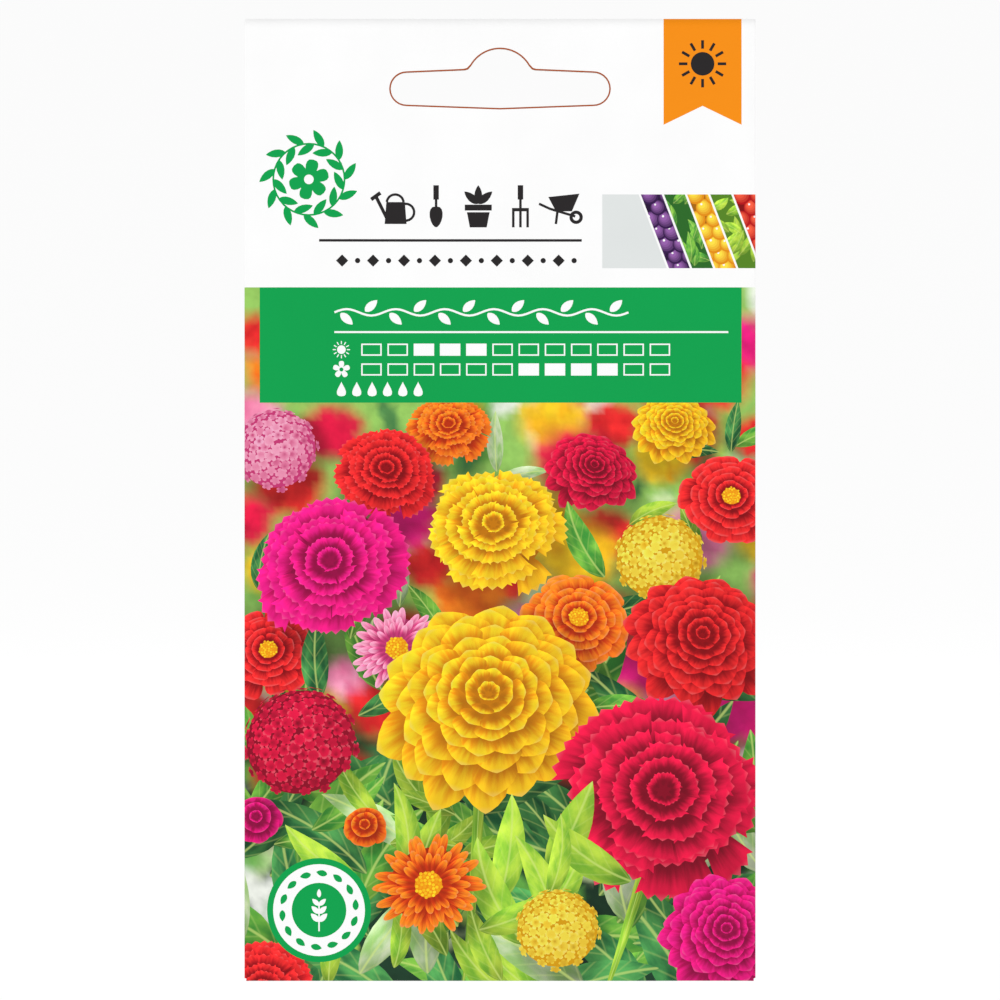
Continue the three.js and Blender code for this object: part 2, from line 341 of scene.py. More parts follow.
def fan(width, teeth):
    """A petal of length 1 from the origin along +X that widens to a toothed tip."""
    across = np.linspace(-1, 1, 2 * teeth + 1)
    reach = 1 - 0.12 * across**2 - 0.1 * (np.arange(len(across)) % 2)
    tip = np.column_stack([reach, across * width / 2])
    return np.vstack([[(0, 0), (0.45, -0.33 * width)], tip, [(0.45, 0.33 * width)]])


def lobed(lobes):
    """A floret of radius 1: a disc with rounded lobes."""
    angles = np.linspace(0, 2 * math.pi, 4 * lobes, endpoint=False)
    reach = 0.62 + 0.38 * np.abs(np.cos(angles * lobes / 2)) ** 0.6
    return np.column_stack([reach * np.cos(angles), reach * np.sin(angles)])


def slot_outline(grow=0.0):
    """The hang slot: two round-ended wings, an arch between them and a shallow V below."""
    wing_end = SLOT_WIDTH / 2 - WING_RADIUS
    wing_middle = WING_TOP - WING_RADIUS
    radius = ARCH_RADIUS + grow
    shoulder = WING_TOP_INNER + grow
    foot_angle = math.asin((shoulder + ARCH_FILLET + ARCH_RADIUS) / radius)
    corner = math.sqrt(radius**2 - (shoulder + ARCH_RADIUS) ** 2)
    right = [
        (0, SLOT_LOWEST - grow),
        *arc((wing_end, wing_middle), WING_RADIUS + grow, -math.pi / 2, math.pi / 2, 14),
        (corner + ARCH_FILLET, shoulder),
        (corner + ARCH_FILLET / 4, shoulder + ARCH_FILLET / 5),
        *arc((0, -ARCH_RADIUS), radius, foot_angle, math.pi / 2, 12),
    ]
    return right + [(-x, z) for x, z in right[-2:0:-1]]


def blank_outline():
    """The flat blank: back panel, front panel over the bottom flap, and side flap, from left to right."""
    flap_half = FLAT_X - FLAP_TAPER
    flap_foot = bottom_flap_v(FLAP_EDGE)
    corner = FLAP_CORNER
    right_corner = arc((flap_half - corner, flap_foot + corner), corner, -math.pi / 2, 0, 6)
    left_corner = [(-x, z) for x, z in right_corner[::-1]]
    return [
        (back_u(SEAM_EDGE), TOP_EDGE),
        (back_u(SEAM_EDGE), BACK_FOOT),
        (-FLAT_X, BACK_FOOT),
        (-FLAT_X, FLAT_Z - FOLD_ARC),
        *left_corner,
        *right_corner,
        (FLAT_X, FLAT_Z - FOLD_ARC),
        (FLAT_X, BACK_FOOT),
        (side_flap_u(HALF_WIDTH - SIDE_FLAP), BACK_FOOT + SIDE_FLAP_BEVEL),
        (side_flap_u(HALF_WIDTH - SIDE_FLAP), TOP_EDGE - SIDE_FLAP_BEVEL),
        (FLAT_X + FOLD_ARC, TOP_EDGE),
    ]


# ---- Inks ----


def ink(red, green, blue):
    """The linear colour of an ink, given as 0 to 255 on a screen."""
    c = np.array([red, green, blue]) / 255
    return np.where(c <= 0.04045, c / 12.92, ((c + 0.055) / 1.055) ** 2.4)


WHITE = ink(250, 250, 250)
GREEN = ink(0, 160, 76)
DARK = ink(37, 34, 35)
ORANGE = ink(245, 142, 10)
TILE_GREY = ink(222, 226, 225)
SLOT_RED = ink(168, 80, 32)
SOIL = ink(146, 104, 70)
RULE_GREY = ink(176, 180, 178)

# Petal inks go from the tip's to the base's.
GOLD = (ink(255, 222, 36), ink(238, 146, 8))
YELLOW = (ink(255, 240, 84), ink(246, 180, 16))
MAGENTA = (ink(255, 26, 142), ink(186, 4, 86))
PINK = (ink(255, 172, 202), ink(228, 66, 134))
RED = (ink(255, 46, 46), ink(176, 10, 24))
CRIMSON = (ink(248, 22, 74), ink(162, 8, 44))
ORANGE_PETAL = (ink(255, 142, 30), ink(226, 60, 12))
LEAF_FRESH = (ink(196, 228, 74), ink(118, 180, 50))
LEAF_MID = (ink(134, 200, 72), ink(60, 144, 54))
LEAF_DEEP = (ink(86, 166, 86), ink(28, 92, 52))
LEAF_PALE = (ink(232, 244, 206), ink(160, 208, 120))
SHADE = ink(28, 60, 40)  # between the leaves


# ---- Artwork ----


@dataclass
class Shape:
    """An inked outline. light and deep are its colours, or functions that give one for each point; local
    gives each point's place along and across a petal or leaf; lean says which side of it faces the light."""

    outline: np.ndarray
    finish: str
    light: object
    deep: object
    local: object
    lean: float
    grain: float
    window: int


class Artwork:
    """Shapes on the flat blank, each over the ones before it."""

    def __init__(self, outline):
        self.shapes = []
        self.shadows = []
        self.window = 0
        self.shift = np.zeros(2)  # added to the outlines drawn
        self.add(outline, WHITE, "paper")

    def add(self, outline, light, finish="ink", deep=None, local=None, lean=0.0, grain=0.0):
        outline = np.asarray(outline, float)
        ahead = np.roll(outline, -1, axis=0)
        clockwise = np.sum(outline[:, 0] * ahead[:, 1] - ahead[:, 0] * outline[:, 1]) < 0
        outline = outline[::-1] if clockwise else outline
        deep = light if deep is None else deep
        outline = subdivided(outline + self.shift)
        self.shapes.append(Shape(outline, finish, light, deep, local, lean, grain, self.window))
        return len(self.shapes) - 1

    def open_window(self, outline, light, finish="ink"):
        """A shape that clips those after it until close_window."""
        self.window = self.add(outline, light, finish)

    def close_window(self):
        self.window = 0

    def shadow(self, centre, radius):
        """Darkens the open window's shapes so far round centre, under what is drawn next."""
        self.shadows.append((self.window, len(self.shapes), np.array(centre), radius))


# ---- Flowers and leaves ----
GOLDEN_ANGLE = 2.4  # a turn that, when repeated, spreads things evenly
LIGHT_FROM = np.array([-0.5, 0.62, 0.6])  # in the picture: left, up and towards the reader
TO_READER = np.array([0, 0, 1])
SHADOW_DEPTH = 0.5  # how dark it is under a bloom
SHADOW_OFFSET, SHADOW_REACH, SHADOW_BLUR = np.array([0.12, -0.16]), 1.25, 0.4  # in shares of its radius
UNLIT, LIT, BRIGHTEST = 0.58, 0.56, 1.05  # a petal's brightness in shade, what the light adds, and the most


@dataclass
class Kind:
    """A kind of bloom: rings of petals on a dome."""

    rings: int
    petals: int  # in the outermost ring
    innermost: float  # tip radius of the innermost ring, as a share of the bloom's
    overlap: float  # how far a petal reaches in under the next ring, as a share of its tip radius
    width: float  # of a petal, as a share of its room in the ring
    rise: float  # of a smooth petal, as for blade
    fall: float
    dome: float  # its height in the middle, as a share of the bloom's radius
    ragged: float  # how much the petals differ
    teeth: int = 0  # at a petal's tip; 0 for a smooth petal


DAHLIA = Kind(8, 16, 0.1, 0.42, 1.45, 0.8, 0.85, 0.5, 0.07)
ZINNIA = Kind(5, 15, 0.32, 0.5, 1.4, 0.8, 0.36, 0.3, 0.08)
CARNATION = Kind(6, 15, 0.16, 0.5, 1.7, 0, 0, 0.4, 0.1, 4)
ASTER = Kind(3, 24, 0.6, 0.6, 1.05, 0.55, 0.5, 0.15, 0.08)
BUD = Kind(3, 8, 0.25, 0.6, 1.7, 0.8, 0.7, 0.8, 0.06)


def polar(radius, angle, height=0.0):
    """A place in a bloom, or a direction."""
    return np.array([radius * math.cos(angle), radius * math.sin(angle), height])


def ring_points(radius, height, sides=16):
    return np.array([polar(radius, 2 * math.pi * i / sides, height) for i in range(sides)])


def bloom_view(centre, radius, facing, nod):
    """Functions from places in a bloom, in shares of its radius: one turns them, one draws them in the
    picture. The bloom nods towards facing."""
    c, s = math.cos(facing - math.pi / 2), math.sin(facing - math.pi / 2)
    spin = np.array([[c, s, 0], [-s, c, 0], [0, 0, 1]])
    tip = np.array([[1, 0, 0], [0, math.cos(nod), -math.sin(nod)], [0, math.sin(nod), math.cos(nod)]])
    turn = tip @ spin

    def view(places):
        return np.asarray(places) @ turn

    def flat(places):
        return view(places)[..., :2] * radius + centre

    return view, flat


def lit(inks, normal, rng):
    """A petal's light and deep ink, brighter where its normal faces the light."""
    light, deep = inks
    facing = float(normal @ LIGHT_FROM)
    bright = min(UNLIT + LIT * max(facing, 0), BRIGHTEST) * rng.uniform(0.9, 1.07)
    return light * bright + deep * max(1 - bright, 0), deep * (0.42 + 0.62 * bright)


def petal_frame(base, tip, side):
    """A function from picture points to their place along and across a petal."""
    axes = np.linalg.inv(np.column_stack([tip - base, side - base]))
    return lambda points: (np.asarray(points) - base) @ axes.T


class Bloom:
    """A bloom's petals, which stand on a dome and differ a little. Sizes are shares of its radius."""

    def __init__(self, art, rng, kind, view, flat, inks):
        self.art, self.rng, self.kind = art, rng, kind
        self.view, self.flat, self.inks = view, flat, inks

    def dome(self, reach):
        return self.kind.dome * math.sqrt(max(1.06 - reach**2, 0))

    def jitter(self, scale=1.0):
        return self.kind.ragged * scale * self.rng.uniform(-1, 1)

    def petal_inks(self, reach, out):
        """The light and deep ink of a petal that points out. The further out, the more it faces aside."""
        slope = math.asin(min(0.9 * reach, 1)) * min(1.8 * self.kind.dome, 1) + self.jitter(1.5)
        return lit(self.inks, self.view(out * math.sin(slope) + TO_READER * math.cos(slope)), self.rng)

    def petal(self, reach, angle, width):
        """Draws a petal whose tip is reach out from the middle."""
        kind = self.kind
        reach *= 1 + self.jitter()
        width *= 1 + self.jitter()
        start = reach * (1 - kind.overlap) - 0.03
        out = np.array([math.cos(angle + self.jitter()), math.sin(angle + self.jitter()), 0])
        tip_angle = angle + self.jitter(1.6)
        base = out * start + TO_READER * (self.dome(start) - 0.05)
        tip = polar(reach, tip_angle, self.dome(reach) + 0.03)
        side = polar(1, tip_angle + math.pi / 2)
        form = fan(width, kind.teeth) if kind.teeth else blade(width, kind.rise, kind.fall)
        outline = self.flat(base + form[:, :1] * (tip - base) + form[:, 1:] * side)
        light, deep = self.petal_inks(reach, out)
        corners = self.flat([base, tip, base + side * width / 2])
        across = corners[2] - corners[0]
        lean = float(across @ LIGHT_FROM[:2]) / (np.linalg.norm(across) + 1e-6)
        self.art.add(outline, light, "petal", deep, petal_frame(*corners), lean, self.rng.uniform(0, 1))

    def ring(self, number):
        """Draws a ring of petals over a dark disc. Ring 0 is the outermost."""
        kind = self.kind
        share = number / max(kind.rings - 1, 1)
        reach = 1 - (1 - kind.innermost) * share
        count = max(round(kind.petals * (0.35 + 0.65 * reach)), 5)
        room = 2 * math.pi * reach * (1 - kind.overlap / 2) / count
        under = reach * (1 - 0.45 * kind.overlap)
        self.art.add(self.flat(ring_points(under, self.dome(under))), self.inks[1] * (0.45 + 0.2 * share))
        angles = [2 * math.pi * (i + 0.5 * (number % 2) + 0.13 * number) / count for i in range(count)]
        for angle in sorted(angles, key=lambda a: -math.sin(a)):
            self.petal(reach, angle, room * kind.width)

    def heart(self, inks):
        """Draws the eye of an open bloom: a disc of small florets."""
        light, deep = inks
        florets = 42
        size = self.kind.innermost * (1 - self.kind.overlap) * 0.9 + 0.04
        self.art.add(self.flat(ring_points(size, self.dome(0) * 0.9)), deep)
        for i in range(florets):
            spot = polar(size * math.sqrt((i + 0.5) / florets), GOLDEN_ANGLE * i, self.dome(0))
            tone = self.rng.uniform(0.1, 1)
            self.art.add(self.flat(spot + ring_points(size * 0.13, 0, 6)), light * tone + deep * (1 - tone))


def bloom(art, rng, kind, centre, radius, inks, facing, nod, heart=None):
    """Draws a bloom, from its outermost ring inwards."""
    view, flat = bloom_view(np.array(centre), radius, facing, nod)
    art.shadow(centre, radius)
    petals = Bloom(art, rng, kind, view, flat, inks)
    for number in range(kind.rings):
        petals.ring(number)
    if heart is not None:
        petals.heart(heart)


def flower_head(art, rng, centre, radius, inks, facing, nod=0.3, florets=70):
    """A round head of small five-lobed florets, such as a phlox."""
    view, flat = bloom_view(np.array(centre), radius, facing, nod)
    size = 1.15 / math.sqrt(florets)
    art.shadow(centre, radius)
    art.add(flat(ring_points(0.9, 0.2, 24)), inks[1] * 0.7)
    for i in range(florets, 0, -1):
        reach = 0.96 * math.sqrt(i / florets)
        normal = polar(reach, GOLDEN_ANGLE * i, math.sqrt(1 - reach**2))
        side = polar(1, GOLDEN_ANGLE * i + math.pi / 2)
        form = placed(lobed(5), (0, 0), rng.uniform(0, 1.2), size * rng.uniform(0.85, 1.15))
        spot = normal * (1, 1, 0.7)
        outline = flat(spot + form[:, :1] * np.cross(side, normal) + form[:, 1:] * side)
        light, deep = lit(inks, view(normal), rng)
        art.add(outline, light, "petal", deep, floret_frame(flat(spot), size * radius), 0, rng.uniform(0, 1))


def floret_frame(centre, radius):
    """A function from picture points to how far out they lie in a floret."""

    def local(points):
        out = np.linalg.norm(np.asarray(points) - centre, axis=1) / radius
        return np.column_stack([0.4 + 0.65 * out, 0 * out])

    return local


def leaf(art, rng, base, heading, length, width, inks, bend=0.4, fall=1.0):
    """A lance-shaped leaf along an arc. heading is its direction at the base, bend how far it turns by the
    tip."""
    radius = length / bend
    centre = np.array(base) + radius * np.array([-math.sin(heading), math.cos(heading)])
    form = blade(width, 0.75, fall, 12)
    turn = heading + form[:, 0] * bend
    offset = radius - form[:, 1]
    outline = centre + offset[:, None] * np.column_stack([np.sin(turn), -np.cos(turn)])

    def local(points):
        d = (np.asarray(points) - centre) * np.sign(bend)
        angle = np.arctan2(d[:, 0], -d[:, 1]) - heading
        angle = (angle + math.pi) % (2 * math.pi) - math.pi
        side = radius - np.sign(bend) * np.hypot(d[:, 0], d[:, 1])
        return np.column_stack([angle / bend, side / (width / 2)])

    lean = -math.sin(heading + bend / 2) * LIGHT_FROM[0] + math.cos(heading + bend / 2) * LIGHT_FROM[1]
    light, deep = inks
    bright = rng.uniform(0.88, 1.24)
    art.add(outline, light * bright, "leaf", deep * bright, local, lean, rng.uniform(0, 1))


# ---- The flower-garden picture ----


def soft_greens(rng):
    """Blurred leaves: (centre, radii, angle, colour, cover)."""
    greens = [ink(246, 249, 240), ink(176, 220, 96), ink(104, 176, 72), ink(62, 126, 72), ink(216, 236, 176)]
    for _ in range(240):
        at = rng.uniform((-42, -148), (42, -34))
        size = rng.uniform(2.2, 6.5)
        colour = greens[rng.integers(len(greens))]
        yield at, (size, size * rng.uniform(0.3, 0.6)), rng.uniform(0, 3.14), colour, 0.85


def soft_flowers(rng):
    """Blurred flower heads in staggered rows, the nearer later: (centre, radii, angle, colour, cover)."""
    inks = [RED, MAGENTA, RED, CRIMSON, ORANGE_PETAL, RED, PINK, GOLD, RED]
    for row, z in enumerate(np.arange(-44, -116, -7.5)):
        for column in range(8):
            at = (-40 + 11.5 * column + 5.7 * (row % 2), z) + rng.uniform(-2.6, 2.6, 2)
            size = rng.uniform(5.2, 8.8)
            light, deep = inks[rng.integers(len(inks))]
            if rng.random() < 0.14:
                continue
            yield at, (size, size * 0.86), 0, light * 0.6 + deep * 0.4, 0.96
            for i in range(11):
                angle = GOLDEN_ANGLE * i
                out = size * 0.16 * math.sqrt(i + 1)
                spot = at + out * np.array([math.cos(angle), 0.8 * math.sin(angle)])
                tone = rng.uniform(0.3, 1)
                yield spot, (size * 0.34, size * 0.2), angle, light * tone + deep * (1 - tone), 0.9


def backdrop_colour(blobs):
    """A function that gives the blurred background's colour at each point."""
    far, near = ink(150, 200, 96), SHADE
    low, high = -118, -68  # between which near goes over into far

    def colour(points):
        rise = ease((points[:, 1] - low) / (high - low))[:, None]
        mixed = near * (1 - rise) + far * rise
        for at, radii, angle, tone, cover in blobs:
            close = np.flatnonzero(np.abs(points - at).max(axis=1) < max(radii))
            d = placed(points[close] - at, (0, 0), -angle) / radii
            share = ease((1 - np.hypot(d[:, 0], d[:, 1])) / 0.6)[:, None] * cover
            mixed[close] = mixed[close] * (1 - share) + tone * share
        return mixed

    return colour


def draw_foliage(art, rng, count, low, high, lengths, inks):
    """Leaves fanned upwards at random places between the corners low and high."""
    for _ in range(count):
        at = rng.uniform(low, high)
        heading = rng.uniform(0.1, 3.0)
        length = rng.uniform(*lengths)
        width = length * rng.uniform(0.24, 0.34)
        bend = rng.choice([-1, 1]) * rng.uniform(0.15, 0.7)
        leaf(art, rng, at, heading, length, width, inks[rng.integers(len(inks))], bend)


def draw_stem(art, rng, top, foot):
    """A stem from a bloom down to its foot."""
    run = np.subtract(top, foot)
    leaf(art, rng, foot, math.atan2(run[1], run[0]) - 0.06, np.hypot(*run), 1.7, LEAF_FRESH, 0.12, 0.3)


def draw_picture(art):
    rng = np.random.default_rng(11)
    area = box(-PRINT_HALF, FLAT_Z - FOLD_ARC - BLEED, PRINT_HALF, BAND_TOP)
    backdrop = backdrop_colour([*soft_greens(rng), *soft_flowers(rng)])
    art.open_window(area, backdrop, "backdrop")
    greens = [LEAF_FRESH, LEAF_MID, LEAF_DEEP, LEAF_MID, LEAF_PALE]
    draw_foliage(art, rng, 56, (-42, -154), (42, -98), (14, 24), [LEAF_DEEP, LEAF_DEEP, LEAF_MID])
    draw_foliage(art, rng, 10, (-40, -80), (40, -62), (6, 10), greens)
    bloom(art, rng, CARNATION, (-8, -60), 6.5, ORANGE_PETAL, 1.6, 0.6)
    bloom(art, rng, DAHLIA, (27, -60), 6.5, GOLD, 1.4, 0.6)
    flower_head(art, rng, (-35, -63), 7, PINK, 1.8)
    bloom(art, rng, CARNATION, (-18, -67), 8, RED, 1.4, 0.5)
    bloom(art, rng, DAHLIA, (14, -67), 7.5, CRIMSON, 1.2, 0.6)
    bloom(art, rng, ZINNIA, (36, -71), 8, RED, 1.4, 0.5, GOLD)
    bloom(art, rng, ZINNIA, (-36, -95), 8, RED, 1.8, 0.5, GOLD)
    draw_foliage(art, rng, 14, (-40, -104), (40, -78), (9, 14), greens)
    flower_head(art, rng, (25, -80), 7.5, YELLOW, 1.6)
    bloom(art, rng, CARNATION, (-1, -76), 11, GOLD, 1.6, 0.45)
    bloom(art, rng, CARNATION, (-26, -82), 12.5, MAGENTA, 1.9, 0.45)
    bloom(art, rng, ASTER, (-16, -94), 7, PINK, 1.9, 0.4, GOLD)
    bloom(art, rng, ZINNIA, (12, -90), 8.5, ORANGE_PETAL, 1.3, 0.5, GOLD)
    bloom(art, rng, DAHLIA, (31, -94), 12, RED, 1.3, 0.45)
    draw_foliage(art, rng, 44, (-42, -152), (42, -110), (12, 22), greens)
    draw_foliage(art, rng, 9, (-20, -127), (-6, -119), (9, 13), [LEAF_MID, LEAF_FRESH, LEAF_FRESH])
    bloom(art, rng, BUD, (-38, -121), 4, MAGENTA, 1.8, 0.3)
    flower_head(art, rng, (-31, -109), 9.5, CRIMSON, 2.0, 0.35, 95)
    draw_stem(art, rng, (-3, -108), (-6, -148))
    draw_stem(art, rng, (24, -122), (16, -149))
    bloom(art, rng, DAHLIA, (-2, -104), 17.5, GOLD, 1.5, 0.4)
    bloom(art, rng, CARNATION, (25, -118), 16.5, CRIMSON, 1.3, 0.35)
    draw_foliage(art, rng, 17, (-32, -150), (22, -129), (12, 19), [LEAF_FRESH, LEAF_MID, LEAF_FRESH])
    bloom(art, rng, CARNATION, (-37, -148), 9, RED, 1.8, 0.3)
    bloom(art, rng, BUD, (-21, -122), 3.4, ORANGE_PETAL, 1.8, 0.3)
    bloom(art, rng, ASTER, (-11, -131), 8.5, ORANGE_PETAL, 2.0, 0.35, GOLD)
    flower_head(art, rng, (9, -138), 7, YELLOW, 1.6, 0.3)
    bloom(art, rng, DAHLIA, (35, -139), 10, MAGENTA, 1.3, 0.3)
    art.close_window()


# ---- Pictograms ----


def sprig(heading):
    """A twig with three pairs of leaves and one at its tip."""
    leaves = [(i, side) for i in range(3) for side in (-1, 1)] + [(3, 0)]
    outlines = [stroke([(-0.5, 0), (0.12, 0)], 0.035)]
    for i, side in leaves:
        outlines.append(placed(blade(0.5), (-0.27 + 0.19 * i, 0), 0.8 * side, 0.27 - 0.023 * i))
    return [placed(outline, (0, 0), heading) for outline in outlines]


# Each is a list of outlines that about fill a square of side 1 round the origin.
SUN = [disc((0, 0), 0.25), *(placed(box(0.32, -0.03, 0.5, 0.03), (0, 0), math.pi * i / 6) for i in range(12))]
DROP = [placed(blade(0.62, 1.3, 0.42), (0, 0.5), -math.pi / 2)]
SHOOT, CUT_SPRIG = sprig(math.pi / 2), sprig(0.6)
TOOL_HANDLE = [stroke([(0, -0.06), (0, 0.2)], 0.06), stroke([(0, 0.16), (0, 0.5)], 0.13)]
TROWEL = [placed(blade(0.62, 0.35, 0.6), (0, 0), -math.pi / 2, 0.5), *TOOL_HANDLE]
HAND_FORK = [
    *(stroke([(x, -0.08), (x, -0.5)], 0.06) for x in (-0.17, 0, 0.17)),
    box(-0.2, -0.12, 0.2, -0.04),
    *TOOL_HANDLE,
]
WATERING_CAN = [
    [(-0.22, -0.42), (0.3, -0.42), (0.26, 0.1), (-0.18, 0.1)],
    stroke([(-0.16, -0.3), (-0.42, 0.22)], 0.08),
    stroke([(-0.54, 0.16), (-0.32, 0.32)], 0.09),
    stroke(arc((0.03, 0.08), 0.2, 0.1, 3.04, 12), 0.06),
    stroke(arc((0.28, -0.14), 0.2, -1.75, 1.9, 12), 0.06),
]
FLOWER_POT = [
    *(placed(blade(0.42), (0, 0.06), math.pi / 2 + turn, 0.44) for turn in (-0.85, 0, 0.85)),
    box(-0.32, -0.1, 0.32, 0.04),
    [(-0.2, -0.5), (0.2, -0.5), (0.27, -0.14), (-0.27, -0.14)],
]
WHEELBARROW = [
    [(-0.34, 0.22), (0.4, 0.3), (0.22, -0.12), (-0.16, -0.12)],
    stroke([(-0.56, 0.06), (-0.3, -0.06), (0.3, -0.24)], 0.06),
    stroke([(-0.12, -0.1), (-0.16, -0.42)], 0.06),
    stroke(arc((0.32, -0.26), 0.12, 2.95, 9.05, 20), 0.08),  # the wheel, open where the bar covers it
]


def stamp(art, pictogram, centre, size, colour):
    for outline in pictogram:
        art.add(placed(outline, centre, 0, size), colour)


def blossom(art, centre, size, colour, eye, petals=5):
    for i in range(petals):
        art.add(placed(blade(0.62, 0.8, 0.35), centre, 2 * math.pi * i / petals + 0.3, size / 2), colour)
    art.add(disc(centre, size * 0.12, 14), eye)


def wreath(art, centre, size, colour):
    """A blossom in a ring of leaves, which are alternately turned in and out."""
    radius = size * 0.36
    art.add(disc(centre, radius + 0.14, 40), colour)
    art.add(disc(centre, radius - 0.14, 40), WHITE)
    for i, (angle, at) in enumerate(spaced_round(centre, radius, 22)):
        heading = angle + math.pi / 2 + (0.75 if i % 2 else -0.6)
        art.add(placed(blade(0.4), at, heading, size * 0.2), colour)
    blossom(art, centre, 0.41 * size, colour, WHITE, 6)


def vine(art, left, right, middle, height, colour):
    """A waving tendril with a leaf at each bend."""
    bends = round((right - left) / (1.05 * height))
    x = np.linspace(left, right, 6 * bends + 1)
    wave = math.pi * (x - left) * bends / (right - left)
    art.add(stroke(np.column_stack([x, middle + 0.14 * height * np.sin(wave)]), 0.09 * height), colour)
    for i in range(bends):
        side = 1 if i % 2 else -1
        at = (left + (right - left) * (i + 0.25) / bends, middle + 0.04 * side * height)
        art.add(placed(blade(0.5), at, 0.75 * side, 0.72 * height), colour)


def rule(art, left, right, z, width, colour):
    art.add(box(left, z - width / 2, right, z + width / 2), colour)


# ---- Front: header, band and badge ----


def round_fruit(art, centre, radius, inks):
    """A round fruit, lighter towards a highlight at its upper left."""
    light, deep = inks
    for i in range(5):
        share = i / 4
        at = np.add(centre, radius * 0.28 * share * np.array([-1, 1]))
        art.add(disc(at, radius * (1 - 0.62 * share), 20), deep * (1 - share) + light * share)
    art.add(disc(np.add(centre, radius * np.array([-0.36, 0.38])), radius * 0.13, 10), WHITE)


def draw_fruit_tile(art, rng, middle, inks):
    for row in range(7):
        for column in range(-1, 2):
            x = middle + FRUIT_PITCH * (column + (row % 2) / 2) + rng.uniform(-0.3, 0.3)
            round_fruit(art, (x, STRIP_BOTTOM + FRUIT_ROW * row), rng.uniform(1.2, 1.5), inks)


def draw_leaf_tile(art, rng, middle, inks):
    for i in range(26):
        at = (middle + rng.uniform(-4.5, 4.5), STRIP_BOTTOM + rng.uniform(-1, 12))
        leaf(art, rng, at, rng.uniform(0.3, 2.8), rng.uniform(3, 5), 1.5, inks, 0.5)


def draw_strip(art):
    """A grey tile and slanted tiles of fruit and leaves, cut off by the right-hand fold."""
    rng = np.random.default_rng(3)

    def tile(left, right):
        """A tile's corners. Its slanted edges start from left and right at the strip's top."""
        feet = [(left + TILE_SLANT, STRIP_BOTTOM), (right + TILE_SLANT, STRIP_BOTTOM)]
        return [(min(x, PRINT_HALF), z) for x, z in [*feet, (right, STRIP_TOP), (left, STRIP_TOP)]]

    art.add([(STRIP_LEFT, STRIP_BOTTOM), *tile(STRIP_LEFT, GREY_RIGHT)[1:]], TILE_GREY)
    tiles = [
        (draw_fruit_tile, (ink(150, 96, 170), ink(52, 22, 74))),
        (draw_leaf_tile, LEAF_MID),
        (draw_fruit_tile, (ink(255, 226, 70), ink(226, 140, 14))),
        (draw_leaf_tile, LEAF_FRESH),
        (draw_fruit_tile, (ink(250, 96, 66), ink(180, 14, 20))),
    ]
    for i, (draw, inks) in enumerate(tiles):
        left = GREY_RIGHT + TILE_GAP + i * TILE_PITCH
        right = left + TILE_PITCH - TILE_GAP if i < len(tiles) - 1 else PRINT_HALF
        art.open_window(tile(left, right), inks[1] * 0.5)
        draw(art, rng, left + TILE_SLANT / 2 + TILE_PITCH / 2, inks)
        art.close_window()


def draw_ribbon(art):
    """A ribbon that hangs from the top edge and ends in two points."""
    middle = (RIBBON_LEFT + RIBBON_RIGHT) / 2
    foot = [(RIBBON_LEFT, RIBBON_FOOT), (middle, RIBBON_FOOT + RIBBON_NOTCH), (RIBBON_RIGHT, RIBBON_FOOT)]
    art.add([(RIBBON_LEFT, TOP_EDGE), *foot, (RIBBON_RIGHT, TOP_EDGE)], ORANGE)
    stamp(art, SUN, (middle, RIBBON_SUN_Z), RIBBON_SUN_SIZE, DARK)


def draw_header(art):
    art.add(slot_outline(SLOT_LINE), SLOT_RED)
    draw_ribbon(art)
    wreath(art, EMBLEM_CENTRE, EMBLEM_SIZE, GREEN)
    for i, tool in enumerate([WATERING_CAN, TROWEL, FLOWER_POT, HAND_FORK, WHEELBARROW]):
        stamp(art, tool, (TOOLS_LEFT + TOOL_SIZE * i, TOOLS_Z), TOOL_SIZE, DARK)
    rule(art, *HEADER_RULE, DARK)
    diamond = box(-DIAMOND_HALF, -DIAMOND_HALF, DIAMOND_HALF, DIAMOND_HALF)
    for i in range(DOTS):
        at = (DOTS_LEFT + DOT_PITCH * i, DOTS_Z)
        art.add(disc(at, DOT_RADIUS, 12) if i % 2 else placed(diamond, at, math.pi / 4), DARK)


def month_cells(art, middle, filled):
    """Twelve cells in a row, solid in the months that filled lists and hollow in the others."""
    for month in range(12):
        left = CELLS_LEFT + CELL_PITCH * month
        cell = (left, middle - CELL_HEIGHT / 2, left + CELL_WIDTH, middle + CELL_HEIGHT / 2)
        art.add(box(*cell), WHITE)
        if month not in filled:
            art.add(box(*cell, CELL_LINE), GREEN)


def draw_band(art):
    """A vine over a rule, months for sowing and for flowering, and a row of drops."""
    art.add(box(BAND_LEFT, BAND_BOTTOM, BAND_RIGHT, BAND_TOP), GREEN)
    vine(art, *BAND_VINE, WHITE)
    rule(art, *BAND_RULE, WHITE)
    stamp(art, SUN, (ICON_X, SUN_ROW), ICON_SIZE, WHITE)
    month_cells(art, SUN_ROW, (2, 3, 4))
    blossom(art, (ICON_X, BLOSSOM_ROW), ICON_SIZE, WHITE, GREEN)
    month_cells(art, BLOSSOM_ROW, (6, 7, 8, 9))
    for i in range(DROPS):
        stamp(art, DROP, (ICON_X + DROP_PITCH * i, DROPS_Z), DROP_SIZE, WHITE)


def draw_badge(art):
    """A sprig in a ring of leaves."""
    outer, ring, inner = BADGE_RADII
    art.add(disc(BADGE_CENTRE, outer, 56), GREEN)
    art.add(disc(BADGE_CENTRE, ring, 52), WHITE)
    art.add(disc(BADGE_CENTRE, inner, 40), GREEN)
    for angle, at in spaced_round(BADGE_CENTRE, (ring + inner) / 2, BADGE_LEAVES):
        art.add(placed(blade(0.55), at, angle + math.pi / 2, BADGE_LEAF), GREEN)
    stamp(art, SHOOT, BADGE_CENTRE, BADGE_SPRIG, WHITE)


# ---- Back: a sowing chart ----


